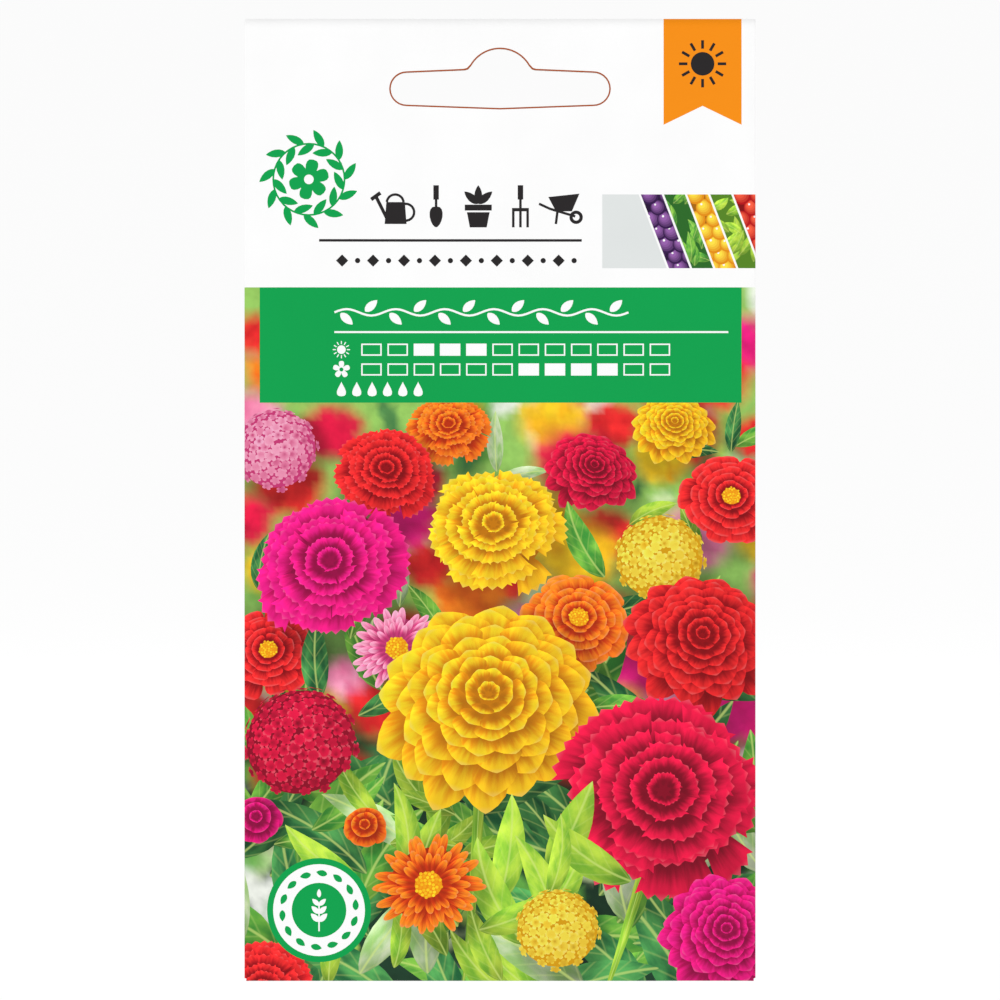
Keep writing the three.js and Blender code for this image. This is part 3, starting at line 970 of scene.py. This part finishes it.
def draw_chart(art):
    """Twelve months across, with a bar for sowing, one for planting out and one for flowering."""
    rows = [(FLOWER_POT, GREEN, 1.5, 3.5), (TROWEL, ORANGE, 4, 5.5), (CUT_SPRIG, ink(226, 30, 90), 6, 10)]
    for month in range(12):
        start = CHART_LEFT + month * CHART_PITCH
        tone = TILE_GREY if month % 2 else ink(238, 241, 240)
        art.add(box(start, CHART_TOP - len(rows) * CHART_ROW, start + CHART_PITCH, CHART_TOP), tone)
        art.add(box(start, CHART_TOP, start + CHART_PITCH - CHART_LINE, CHART_TOP + CHART_HEAD), GREEN)
    for row, (pictogram, colour, start, end) in enumerate(rows):
        foot = CHART_TOP - (row + 1) * CHART_ROW
        middle = foot + CHART_ROW / 2
        stamp(art, pictogram, (CHART_ICON_X, middle), CHART_ICON_SIZE, DARK)
        left, right = (CHART_LEFT + month * CHART_PITCH for month in (start, end))
        rule(art, left, right, middle, CHART_BAR, colour)
        rule(art, CHART_LINES_LEFT, CHART_LEFT + 12 * CHART_PITCH, foot, CHART_LINE, RULE_GREY)


def draw_sowing(art):
    """A bed in section: seeds, shoots over every other one, and an arrow across their spacing."""
    art.add(box(-SOIL_HALF, SOIL_TOP - SOIL_DEPTH, SOIL_HALF, SOIL_TOP), SOIL)
    for i in range(-3, 4):
        x = SOWING_PITCH * i
        art.add(disc((x, SOWING_Z), SOWN_SEED, 14), DARK)
        if i % 2:
            stamp(art, SHOOT, (x, SOIL_TOP + SHOOT_SIZE / 2), SHOOT_SIZE, GREEN)
    rule(art, -SOWING_PITCH, 0, ARROW_Z, ARROW_LINE, WHITE)
    head = [(0.1, 0), (-1.5, 0.8), (-1.5, -0.8)]
    for x, side in ((-SOWING_PITCH, -1), (0, 1)):
        art.add([(x + side * along, ARROW_Z + across) for along, across in head], WHITE)


def draw_care(art):
    """Three round signs: sun, water and cut flowers."""
    outer, inner = SIGN_RADII
    for i, pictogram in enumerate((SUN, DROP, CUT_SPRIG)):
        centre = (SIGN_PITCH * (i - 1), SIGNS_Z)
        art.add(disc(centre, outer, 40), GREEN)
        art.add(disc(centre, inner, 40), WHITE)
        stamp(art, pictogram, centre, SIGN_SIZE, GREEN)


def draw_back(art):
    art.shift = np.array([BACK_MIDDLE, 0])
    art.add(slot_outline(SLOT_LINE), SLOT_RED)
    wreath(art, (0, BACK_EMBLEM_Z), BACK_EMBLEM_SIZE, GREEN)
    art.add(box(-BACK_HALF, BAND_TOP - BACK_BAND, BACK_HALF, BAND_TOP), GREEN)
    vine(art, *BACK_VINE, WHITE)
    draw_chart(art)
    draw_sowing(art)
    draw_care(art)
    rule(art, *BACK_RULE, GREEN)
    art.shift = np.zeros(2)


def packet_artwork():
    art = Artwork(blank_outline())
    draw_back(art)
    draw_picture(art)
    draw_header(art)
    draw_strip(art)
    draw_band(art)
    draw_badge(art)
    return art


# ---- Cutting the blank ----
FINISHES = ["paper", "ink", "petal", "leaf", "backdrop"]  # in the order of paper_materials
INSIDE, EDGE = len(FINISHES), len(FINISHES) + 1


def spaced(start, end, size):
    """Evenly spaced places from start to end, about this far apart."""
    return np.linspace(start, end, round(abs(end - start) / size) + 1)


def crease_lines():
    """Rows of points along the folds. Cuts through them keep each triangle in a narrow part of a fold."""
    offsets = np.linspace(0, FOLD_ARC, CREASES)
    up = spaced(BACK_FOOT, TOP_EDGE, COARSE)
    across = spaced(-FLAT_X, FLAT_X, FINE)
    sides = [[(side * (FLAT_X + offset), v) for v in up] for side in (-1, 1) for offset in offsets]
    return sides + [[(u, FLAT_Z - offset) for u in across] for offset in offsets]


def grid_points():
    """Points that keep the triangles small enough for the packet's swell and the soft backdrop."""
    bottom_flap = (FLAT_Z - FOLD_ARC, bottom_flap_v(FLAP_EDGE))
    areas = [
        ((-FLAT_X, FLAT_X), (FLAT_Z, BAND_BOTTOM), FINE),
        ((-FLAT_X, FLAT_X), (BAND_BOTTOM, TOP_EDGE), COARSE),
        ((back_u(-FLAT_X), back_u(SEAM_EDGE)), (BACK_FOOT, TOP_EDGE), COARSE),
        ((side_flap_u(FLAT_X), side_flap_u(HALF_WIDTH - SIDE_FLAP)), (BACK_FOOT, TOP_EDGE), COARSE),
        ((-FLAT_X + FLAP_TAPER, FLAT_X - FLAP_TAPER), bottom_flap, COARSE),
    ]
    grids = [np.meshgrid(spaced(*u, size)[1:-1], spaced(*v, size)[1:-1]) for u, v, size in areas]
    return np.vstack([np.column_stack([u.ravel(), v.ravel()]) for u, v in grids])


def chained(lines, start):
    """The edges along lines of points that are numbered from start."""
    edges = []
    for line in lines:
        edges += pairwise(range(start, start + len(line)))
        start += len(line)
    return edges


def triangulate(points, edges, faces):
    """Cuts the plane along edges and closed faces. Gives points, triangles, the points given that each point
    stands for and the faces given that each triangle is in."""
    coords = [Vector(p) for p in points]
    verts, _, tris, origins, _, owners = delaunay_2d_cdt(coords, edges, faces, 0, WELD, bool(faces))
    return np.array([v[:] for v in verts]), np.array(tris), origins, owners


def as_faces(outlines):
    """Each outline's indices in the list of all their points."""
    ends = np.cumsum([len(outline) for outline in outlines])
    return [list(range(end - len(outline), end)) for end, outline in zip(ends, outlines)]


def top_shape(shapes, owners):
    """The uppermost of the shapes that hold a triangle and whose window holds it too; -1 off the blank.
    The two faces after the shapes' are the slots."""
    if 0 not in owners or len(shapes) in owners or len(shapes) + 1 in owners:
        return -1
    return max(i for i in owners if shapes[i].window in (0, *owners))


def borders(tris, shape_of):
    """The edges where one shape's triangles meet another's."""
    beside = {}
    for (a, b, c), shape in zip(tris.tolist(), shape_of.tolist()):
        beside[a, b] = beside[b, c] = beside[c, a] = shape
    return [(a, b) for (a, b), shape in beside.items() if shape > beside.get((b, a), -1)]


def shapes_under(places, points, tris, shape_of):
    """The shape of the triangle at each place; -1 where there is none."""
    tree = BVHTree.FromPolygons([(x, y, 0) for x, y in points.tolist()], tris.tolist())
    down = Vector((0, 0, -1))
    hits = [tree.ray_cast((x, y, 1), down)[2] for x, y in places.tolist()]
    return np.array([-1 if hit is None else shape_of[hit] for hit in hits])


def cut_blank(art):
    """The printed sheet: 2-D points, triangles and each triangle's shape. The first cut, along all the
    outlines, finds the borders that show, and the second is along those alone."""
    slot = subdivided(slot_outline())
    slots = [slot, np.column_stack([back_u(slot[:, 0]), slot[:, 1]])[::-1]]
    outlines = [s.outline for s in art.shapes] + slots
    rough_points, rough, _, owners = triangulate(np.vstack(outlines), [], as_faces(outlines))
    rough_shape = np.array([top_shape(art.shapes, o) for o in owners])
    used, edges = np.unique(borders(rough, rough_shape), return_inverse=True)
    folds = crease_lines()
    edges = edges.reshape(-1, 2).tolist() + chained(folds, len(used))
    points, tris, _, _ = triangulate(np.vstack([rough_points[used], *folds, grid_points()]), edges, [])
    shape_of = shapes_under(points[tris].mean(axis=1), rough_points, rough, rough_shape)
    kept = shape_of >= 0
    used, tris = np.unique(tris[kept], return_inverse=True)
    order = np.argsort(shape_of[kept], kind="stable")
    return points[used], tris.reshape(-1, 3)[order], shape_of[kept][order]


def shadow_at(art, index, points):
    """How bright the shapes with these numbers are at points, under the blooms that were drawn after them."""
    bright = np.ones(len(points))
    for window, order, centre, radius in art.shadows:
        below = (index >= window) & (index < order)
        out = np.linalg.norm(points - centre - radius * SHADOW_OFFSET, axis=1) / radius
        bright *= 1 - SHADOW_DEPTH * below * ease((SHADOW_REACH - out) / SHADOW_BLUR)
    return bright


def corner_print(art, points, tris, shape_of):
    """Each corner's light and deep ink and its place in its petal or leaf, and each triangle's grain."""
    corners = points[tris].reshape(-1, 2)
    shade = shadow_at(art, np.repeat(shape_of, 3), corners)[:, None]
    light, deep = np.ones((2, len(corners), 4))
    local = np.zeros((len(corners), 3))
    grain = np.zeros(len(tris))
    edges = np.searchsorted(shape_of, np.arange(len(art.shapes) + 1))
    for shape, first, last in zip(art.shapes, edges[:-1], edges[1:]):
        if first == last:
            continue
        span = slice(3 * first, 3 * last)
        at = corners[span]
        for inks, given in ((light, shape.light), (deep, shape.deep)):
            colour = given(at) if callable(given) else given
            inks[span, :3] = np.clip(colour * shade[span], 0, 1)
        if shape.local is not None:
            local[span, :2] = shape.local(at)
            local[span, 2] = shape.lean
        grain[first:last] = shape.grain
    return light, deep, local, grain


def rim_edges(tris):
    """The edges, as (from, to), that only one triangle has."""
    edges = {(a, b) for tri in tris.tolist() for a, b in zip(tri, tri[1:] + tri[:1])}
    return sorted(edge for edge in edges if edge[::-1] not in edges)


def rim_loops(edges):
    """The closed rings of points that the edges join up to."""
    after = dict(edges)
    loops = []
    while after:
        start, at = after.popitem()
        loop = [start]
        while at != start:
            loop.append(at)
            at = after.pop(at)
        loops.append(loop)
    return loops


def inner_sheet(points, loops):
    """Triangles for the paper's inner face, which has no print: its points, its triangles, and which of its
    points lies under each of the printed face's rim points."""
    rim = np.concatenate(loops)
    folds = [line[1:-1] for line in crease_lines()]
    spare = grid_points()[::3]  # fewer will do where there is no print
    longest = max(range(len(loops)), key=lambda i: len(loops[i]))
    # The loops round the slots run clockwise.
    faces = [face if i == longest else face[::-1] for i, face in enumerate(as_faces(loops))]
    coords = np.vstack([points[rim], *folds, spare])
    verts, tris, origins, owners = triangulate(coords, chained(folds, len(rim)), faces)
    kept = [set(owner) == {longest} for owner in owners]
    of_rim = {rim[k]: i for i, origin in enumerate(origins) for k in origin if k < len(rim)}
    return verts, tris[kept], of_rim


# ---- The envelope's mesh ----


def add_object(name, data):
    made = bpy.data.objects.new(name, data)
    bpy.context.scene.collection.objects.link(made)
    return made


def make_mesh(name, verts, faces, materials, slots=0, smooth=True):
    """An object with this mesh. slots and smooth are for all faces, or give one value for each."""
    mesh = bpy.data.meshes.new(name)
    mesh.from_pydata([tuple(v) for v in verts], [], [list(f) for f in faces])
    for material in materials:
        mesh.materials.append(material)
    mesh.polygons.foreach_set("material_index", np.full(len(faces), slots, np.int32))
    mesh.polygons.foreach_set("use_smooth", np.full(len(faces), smooth))
    mesh.update()
    return add_object(name, mesh)


def rim_strip(points, rim):
    """A place on the map for each corner of the cut edges, side by side in a narrow strip."""
    a, b = points[np.array(rim)].transpose(1, 0, 2)
    along = np.append(0, np.cumsum(np.linalg.norm(b - a, axis=1)))
    start, end = along[:-1] / along[-1], along[1:] / along[-1]
    low, high = np.zeros(len(rim)), np.ones(len(rim))
    return np.stack([end, low, start, low, start, high, end, high], axis=1).reshape(-1, 2)


def add_bake_map(made, print_corners, inner_corners, rim_corners):
    """A map to bake the materials through, named OFBake: the print at full size, as on the flat blank. The
    plain inner face and the cut edges are small, below the back panel, where the blank leaves room."""
    low, size = print_corners.min(axis=0), np.ptp(print_corners, axis=0)
    room = np.array([BACK_MIDDLE + HALF_WIDTH, BACK_FOOT]) - low
    inner = low + (inner_corners - low) / size * (0.3 * room[0], 0.85 * room[1])
    rim = low + room * (0.35, 0.1) + rim_corners * room * (0.6, 0.4)
    corners = (np.vstack([print_corners, inner, rim]) - low) / size.max()
    layer = made.data.uv_layers.new(name="OFBake")
    layer.data.foreach_set("uv", corners.astype(np.float32).ravel())


def padded(values, count, fill):
    """The values in one flat row, filled up to count places."""
    blank = np.full((count - len(values), *np.shape(values)[1:]), fill)
    return np.concatenate([values, blank]).astype(np.float32).ravel()


def add_print(made, light, deep, local, grain):
    """Stores the print of the first faces as attributes. The faces after them have none."""
    corners, faces = len(made.data.loops), len(made.data.polygons)
    rows = [
        ("light", "FLOAT_COLOR", "CORNER", "color", padded(light, corners, 1)),
        ("deep", "FLOAT_COLOR", "CORNER", "color", padded(deep, corners, 1)),
        ("local", "FLOAT_VECTOR", "CORNER", "vector", padded(local, corners, 0)),
        ("grain", "FLOAT", "FACE", "value", padded(grain, faces, 0)),
    ]
    for name, kind, domain, field, values in rows:
        made.data.attributes.new(name, kind, domain).data.foreach_set(field, values)


def make_envelope(art, materials):
    """The printed face, the inner face and the cut edges between them, as one closed sheet of paper."""
    points, tris, shape_of = cut_blank(art)
    rim = rim_edges(tris)
    inner_points, inner_tris, of_rim = inner_sheet(points, rim_loops(rim))
    outer = folded(*points.T)
    inner = folded(*inner_points.T, PAPER)
    base = len(outer)
    inner_faces = (inner_tris[:, ::-1] + base).tolist()
    rim_faces = [[b, a, base + of_rim[a], base + of_rim[b]] for a, b in rim]
    slots = [FINISHES.index(art.shapes[s].finish) for s in shape_of]
    slots += [INSIDE] * len(inner_faces) + [EDGE] * len(rim_faces)
    smooth = np.array(slots) != EDGE
    faces = tris.tolist() + inner_faces + rim_faces
    made = make_mesh("printed_envelope", np.vstack([outer, inner]), faces, materials, slots, smooth)
    add_print(made, *corner_print(art, points, tris, shape_of))
    inner_corners = inner_points[inner_tris[:, ::-1]].reshape(-1, 2)
    add_bake_map(made, points[tris].reshape(-1, 2), inner_corners, rim_strip(points, rim))
    return made


# ---- Materials ----


class Value:
    """A socket that gives a number or a colour. Values add, subtract, multiply and divide as numbers do."""

    def __init__(self, nodes, socket):
        self.nodes, self.socket = nodes, socket

    def __add__(self, other):
        return self.nodes.math("ADD", self, other)

    def __sub__(self, other):
        return self.nodes.math("SUBTRACT", self, other)

    def __mul__(self, other):
        return self.nodes.math("MULTIPLY", self, other)

    def __truediv__(self, other):
        return self.nodes.math("DIVIDE", self, other)

    def __abs__(self):
        return self.nodes.math("ABSOLUTE", self, 0.0)


class Nodes:
    """A material's node tree, built by calls that take values or plain numbers."""

    def __init__(self, name):
        self.material = bpy.data.materials.new(name)
        self.material.use_nodes = True
        self.tree = self.material.node_tree
        self.tree.nodes.clear()

    def node(self, kind, inputs, **settings):
        made = self.tree.nodes.new("ShaderNode" + kind)
        for name, value in settings.items():
            setattr(made, name, value)
        for key, value in inputs.items():
            if isinstance(value, Value):
                self.tree.links.new(value.socket, made.inputs[key])
            else:
                made.inputs[key].default_value = value
        return made

    def value(self, kind, output, inputs, **settings):
        return Value(self, self.node(kind, inputs, **settings).outputs[output])

    def math(self, operation, a, b):
        return self.value("Math", 0, {0: a, 1: b}, operation=operation)

    def ramp(self, value, low, high, to_low=0.0, to_high=1.0):
        """Smoothly from to_low at low to to_high at high."""
        inputs = {"Value": value, "From Min": low, "From Max": high, "To Min": to_low, "To Max": to_high}
        return self.value("MapRange", 0, inputs, interpolation_type="SMOOTHSTEP")

    def mix(self, share, a, b):
        """From colour a to colour b. Plain colours are given without their alpha."""
        a, b = (c if isinstance(c, Value) else (*c, 1) for c in (a, b))
        return self.value("Mix", 2, {0: share, 6: a, 7: b}, data_type="RGBA")

    def scaled(self, colour, by):
        return self.value("VectorMath", 0, {0: colour, "Scale": by}, operation="SCALE")

    def attribute(self, name, output):
        return self.value("Attribute", output, {}, attribute_name=name)

    def place(self):
        """The point on the object, in metres."""
        return self.value("TexCoord", "Object", {})

    def noise(self, vector, scale, detail=2.0, roughness=0.5):
        inputs = {"Vector": vector, "Scale": scale, "Detail": detail, "Roughness": roughness}
        return self.value("TexNoise", 0, inputs)

    def vector(self, x, y, z):
        return self.value("CombineXYZ", 0, {0: x, 1: y, 2: z})

    def bump(self, height, strength, depth):
        """The normal over bumps of this depth in millimetres."""
        return self.value("Bump", 0, {"Strength": strength, "Distance": depth * MM, "Height": height})

    def finish(self, **inputs):
        """Ends the tree in a Principled shader with these inputs."""
        shader = self.node("BsdfPrincipled", {k.replace("_", " "): v for k, v in inputs.items()})
        output = self.tree.nodes.new("ShaderNodeOutputMaterial")
        self.tree.links.new(shader.outputs[0], output.inputs[0])
        return self.material


def coated(nodes, colour, smoothest=0.36, roughest=0.5):
    """Printed, satin-coated paper: faint fibre under the coat and a slightly uneven gloss."""
    fibre = nodes.noise(nodes.place(), 2600, 2, 0.6)
    cloud = nodes.noise(nodes.place(), 90, 2)
    mottled = nodes.scaled(colour, nodes.ramp(cloud, 0.2, 0.8, 0.975, 1.0))
    rough = nodes.ramp(fibre + cloud, 0.7, 1.3, smoothest, roughest)
    bump = nodes.bump(fibre, 0.12, 0.04)
    return nodes.finish(Base_Color=mottled, Roughness=rough, Normal=bump, Specular_IOR_Level=0.12)


def plain_material(name, *gloss):
    nodes = Nodes(name)
    return coated(nodes, nodes.attribute("light", "Color"), *gloss)


def backdrop_material():
    """The blurred background, with softly brighter and darker patches."""
    nodes = Nodes("printed_backdrop")
    patch = nodes.noise(nodes.place(), 420, 2, 0.6)
    tone = nodes.ramp(patch, 0.3, 0.7, 0.9, 1.08)
    return coated(nodes, nodes.scaled(nodes.attribute("light", "Color"), tone))


def petal_parts(nodes):
    """The light and deep ink; how far a point lies along and across its petal or leaf; which side of it
    faces the light; and its grain."""
    inks = [nodes.attribute(name, "Color") for name in ("light", "deep")]
    local = nodes.node("SeparateXYZ", {0: nodes.attribute("local", "Vector")}).outputs
    return [*inks, *(Value(nodes, socket) for socket in local), nodes.attribute("grain", "Fac")]


def petal_material():
    """Petals: dark where the next ring lies over them, lighter to the tip along fine veins, and cupped."""
    nodes = Nodes("printed_petal")
    light, deep, along, across, lean, grain = petal_parts(nodes)
    veins = nodes.noise(nodes.vector(across * 4.0 / (along + 0.5), along * 1.3, grain * 40), 1.2, 3)
    climb = (veins - 0.5) * 0.8 + along
    colour = nodes.mix(nodes.ramp(climb, 0.38, 0.95), deep, light)
    covered = nodes.ramp(along, 0.3, 0.8, 0.6, 1.0)
    cup = nodes.ramp(abs(across), 0.0, 0.7, 0.86, 1.1)
    side = across * lean * 0.25 + 1.0
    rim = nodes.ramp(along, 0.86, 1.0, 0.0, 0.07)
    return coated(nodes, nodes.mix(rim, nodes.scaled(colour, covered * cup * side), WHITE))


def leaf_material():
    """Leaves: a pale midrib, faint side veins and one half turned to the light."""
    nodes = Nodes("printed_leaf")
    light, deep, along, across, lean, grain = petal_parts(nodes)
    patch = nodes.noise(nodes.vector(along * 3.0, across, grain * 40), 1.1, 3)
    colour = nodes.mix(nodes.ramp(patch, 0.3, 0.7), deep, light)
    side = across * lean * 0.42 + 1.0
    foot = nodes.ramp(along, 0.0, 0.4, 0.55, 1.0)
    slanted = along * 6.0 - abs(across) * 1.5
    rib = nodes.ramp(nodes.math("PINGPONG", slanted, 0.5), 0.0, 0.14, 0.16, 0.0)
    midrib = nodes.ramp(abs(across), 0.02, 0.11, 0.5, 0.0)
    pale = nodes.math("MAXIMUM", rib, midrib)
    return coated(nodes, nodes.mix(pale, nodes.scaled(colour, side * foot), ink(214, 232, 130)))


def raw_paper_material(name, tone):
    """Uncoated paper, on the inside and at the cut edges."""
    nodes = Nodes(name)
    fibre = nodes.noise(nodes.place(), 1900, 4, 0.7)
    colour = nodes.mix(nodes.ramp(fibre, 0.3, 0.7), tone, WHITE)
    rough = nodes.ramp(fibre, 0.3, 0.7, 0.8, 0.95)
    return nodes.finish(Base_Color=colour, Roughness=rough, Normal=nodes.bump(fibre, 0.3, 0.05))


def paper_materials():
    return [
        plain_material("paper_white", 0.42, 0.6),
        plain_material("printed_ink"),
        petal_material(),
        leaf_material(),
        backdrop_material(),
        raw_paper_material("paper_inside", ink(236, 236, 230)),
        raw_paper_material("paper_edge", ink(240, 240, 236)),
    ]


def foil_material():
    """Rolled aluminium foil under a clear film: fine lines along the roll and a cloudy gloss."""
    nodes = Nodes("foil_laminate")
    stretched = nodes.value("Mapping", 0, {0: nodes.place(), 3: (1, 1, 0.03)})
    lines = nodes.noise(stretched, 5200, 2)
    cloud = nodes.noise(nodes.place(), 160, 3)
    tone = nodes.mix(nodes.ramp(cloud, 0.3, 0.7), ink(206, 209, 213), ink(228, 230, 232))
    rough = nodes.ramp(lines + cloud, 0.7, 1.3, 0.2, 0.38)
    return nodes.finish(Base_Color=tone, Roughness=rough, Normal=nodes.bump(lines, 0.2, 0.03), Metallic=1.0)


def seed_material():
    """A black, glossy seed coat with a fine net of ridges."""
    nodes = Nodes("seed_black")
    cells = {"Vector": nodes.place(), "Scale": 9000}
    net = nodes.value("TexVoronoi", "Distance", cells, feature="DISTANCE_TO_EDGE")
    mottling = nodes.ramp(nodes.noise(nodes.place(), 1500), 0.3, 0.7)
    tone = nodes.mix(mottling, ink(22, 18, 19), ink(52, 38, 36))
    rough = nodes.ramp(net, 0.0, 0.2, 0.34, 0.18)
    return nodes.finish(Base_Color=tone, Roughness=rough, Normal=nodes.bump(net, 0.35, 0.03))


# ---- The foil sachet and its seeds ----


def creases(x, z):
    """Sharp folds in soft foil: 0 in their valleys and 1 on their crests."""
    total = 0
    for heading, pitch, start in ((0.3, 7.3, 0.0), (1.3, 5.1, 1.1), (2.1, 9.7, 2.3), (2.8, 4.3, 0.7)):
        along = x * math.cos(heading) + z * math.sin(heading)
        across = z * math.cos(heading) - x * math.sin(heading)
        total = total + np.abs(np.sin(math.pi * along / pitch + 0.9 * np.sin(across / 6.0 + start)))
    return total / 4


def foil_surfaces(x, z, side):
    """Y of a leaf's inner and outer face. Both leaves share the seal's embossing."""
    pocket = over_pocket(x, z)
    ribs = np.sin(2 * math.pi * (x + z) / SEAL_RIB_PITCH) * np.sin(2 * math.pi * (x - z) / SEAL_RIB_PITCH)
    shared = SEAL_RIB * ribs * ease(1 - 6 * pocket)
    inner = FOIL_GAP + POCKET_RISE * pocket - CRINKLE * ease(1.4 * pocket) * creases(x, z + 5 * side)
    return side * inner + shared, side * (inner + FOIL) + shared


def make_foil(name, node, side, material):
    columns = np.linspace(-SACHET_HALF, SACHET_HALF, FOIL_COLUMNS)
    x, z = np.meshgrid(columns, np.linspace(SACHET_BOTTOM, SACHET_TOP, FOIL_ROWS))
    at = np.arange(x.size).reshape(x.shape)
    verts = [np.column_stack([x.ravel(), y.ravel(), z.ravel()]) for y in foil_surfaces(x, z, side)]
    quads = np.stack([at[:-1, :-1], at[:-1, 1:], at[1:, 1:], at[1:, :-1]], axis=-1).reshape(-1, 4)
    edge = np.concatenate([at[0, :-1], at[:-1, -1], at[-1, :0:-1], at[:0:-1, 0]])
    ahead = np.roll(edge, -1)
    rim = np.column_stack([edge, ahead, ahead + x.size, edge + x.size])
    faces = np.vstack([quads + x.size, quads[:, ::-1], rim])
    if side > 0:
        faces = faces[:, ::-1]
    made = make_mesh(name, np.vstack(verts) * MM, faces.tolist(), [material])
    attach(made, "root")
    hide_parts(node)


def make_seed(node, turn, material):
    """A lens-shaped seed with a notch in its rim, where the CAD seed lies."""
    low, high = np.array(box_mm(node))
    radius, half = (high - low)[0] / 2, (high - low)[1] / 2
    tilt = np.linspace(0, math.pi, SEED_RINGS + 1)[1:-1]
    around = np.arange(SEED_SIDES) * 2 * math.pi / SEED_SIDES
    notch = 1 - NOTCH_DEPTH * np.exp(-(((around - math.pi) / NOTCH_SPREAD) ** 2))
    reach = radius * np.sin(tilt)[:, None] ** 0.85 * notch
    y = np.repeat(-half * np.cos(tilt)[:, None] * (1 - 0.12 * np.sin(tilt)[:, None]), SEED_SIDES, axis=1)
    ring = np.stack([reach * np.cos(around + turn), y, reach * np.sin(around + turn)], axis=-1).reshape(-1, 3)
    verts = np.vstack([ring, [(0, -half, 0), (0, half, 0)]]) + (low + high) / 2
    last = len(ring) - SEED_SIDES
    faces = []
    for i, j in pairwise([*range(SEED_SIDES), 0]):
        for k in range(0, last, SEED_SIDES):
            faces.append([k + i, k + i + SEED_SIDES, k + j + SEED_SIDES, k + j])
        faces += [[len(ring), i, j], [len(ring) + 1, last + j, last + i]]
    made = make_mesh(f"black_{node}", verts * MM, faces, [material])
    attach(made, "root")
    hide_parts(node)


# ---- Stage, light and camera ----


def make_camera():
    data = bpy.data.cameras.new("camera")
    data.lens = CAMERA_LENS
    data.sensor_width = SENSOR
    camera = add_object("camera", data)
    distance = FRAME_WIDTH * CAMERA_LENS / SENSOR
    camera.location = (0, -distance * MM, CENTRE_Z * MM)
    camera.rotation_euler = (math.pi / 2, 0, 0)
    bpy.context.scene.camera = camera


def stage_material():
    nodes = Nodes("stage")
    tint = nodes.mix(nodes.noise(nodes.place(), 3.0), ink(18, 18, 18), ink(22, 22, 22))
    glow = {"Emission_Color": (1, 1, 1, 1), "Emission_Strength": STAGE_GLOW}
    material = nodes.finish(Base_Color=tint, Roughness=0.95, **glow)
    material.cycles.emission_sampling = "NONE"
    return material


def make_stage():
    """A pale floor under the packet that curves up into a wall all round."""
    floor = BOTTOM_EDGE * MM - FLOOR_DROP
    curve = arc((FLOOR_RADIUS, COVE_RADIUS), COVE_RADIUS, -math.pi / 2, 0, 14)
    profile = [*curve, (FLOOR_RADIUS + COVE_RADIUS, WALL_HEIGHT)]
    around = disc((0, 0), 1, STAGE_SIDES)
    rings = [(x * reach, y * reach, floor + z) for reach, z in profile for x, y in around]
    faces = []
    for i, j in pairwise([*range(1, STAGE_SIDES + 1), 1]):
        faces.append([0, i, j])
        for k in range(0, len(rings) - STAGE_SIDES, STAGE_SIDES):
            faces.append([k + i, k + i + STAGE_SIDES, k + j + STAGE_SIDES, k + j])
    make_mesh("stage", [(0, 0, floor), *rings], faces, [stage_material()])


def area_light(name, place, size, power):
    data = bpy.data.lights.new(name, "AREA")
    data.shape = "DISK"
    data.size = size
    data.energy = power
    light = add_object(name, data)
    light.location = place
    aim = Vector((0, 0, CENTRE_Z * MM)) - light.location
    light.rotation_euler = aim.to_track_quat("-Z", "Y").to_euler()


def make_lights():
    area_light("key", (-0.9, -0.75, 0.75), 0.7, 2.65)
    area_light("fill", (1.0, -0.8, 0.35), 0.8, 1.35)
    area_light("top", (0.0, 0.25, 1.5), 1.2, 2.0)
    area_light("back", (0.3, 1.1, 0.8), 0.9, 2.4)
    world = bpy.data.worlds.new("world")
    world.use_nodes = True
    sky = world.node_tree.nodes["Background"].inputs
    sky["Color"].default_value = (1, 1, 1, 1)
    sky["Strength"].default_value = SKY_GLOW
    bpy.context.scene.world = world
    bpy.context.scene.view_settings.view_transform = "Standard"


# ---- The packet ----
make_camera()
envelope = make_envelope(packet_artwork(), paper_materials())
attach(envelope, "root")
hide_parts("envelope")
foil = foil_material()
make_foil("foil_leaf_front", "foil_front", -1, foil)
make_foil("foil_leaf_back", "foil_back", 1, foil)
seed_coat = seed_material()
for number in range(1, 37):
    make_seed(f"seed_{number:02d}", GOLDEN_ANGLE * number, seed_coat)
make_stage()
make_lights()
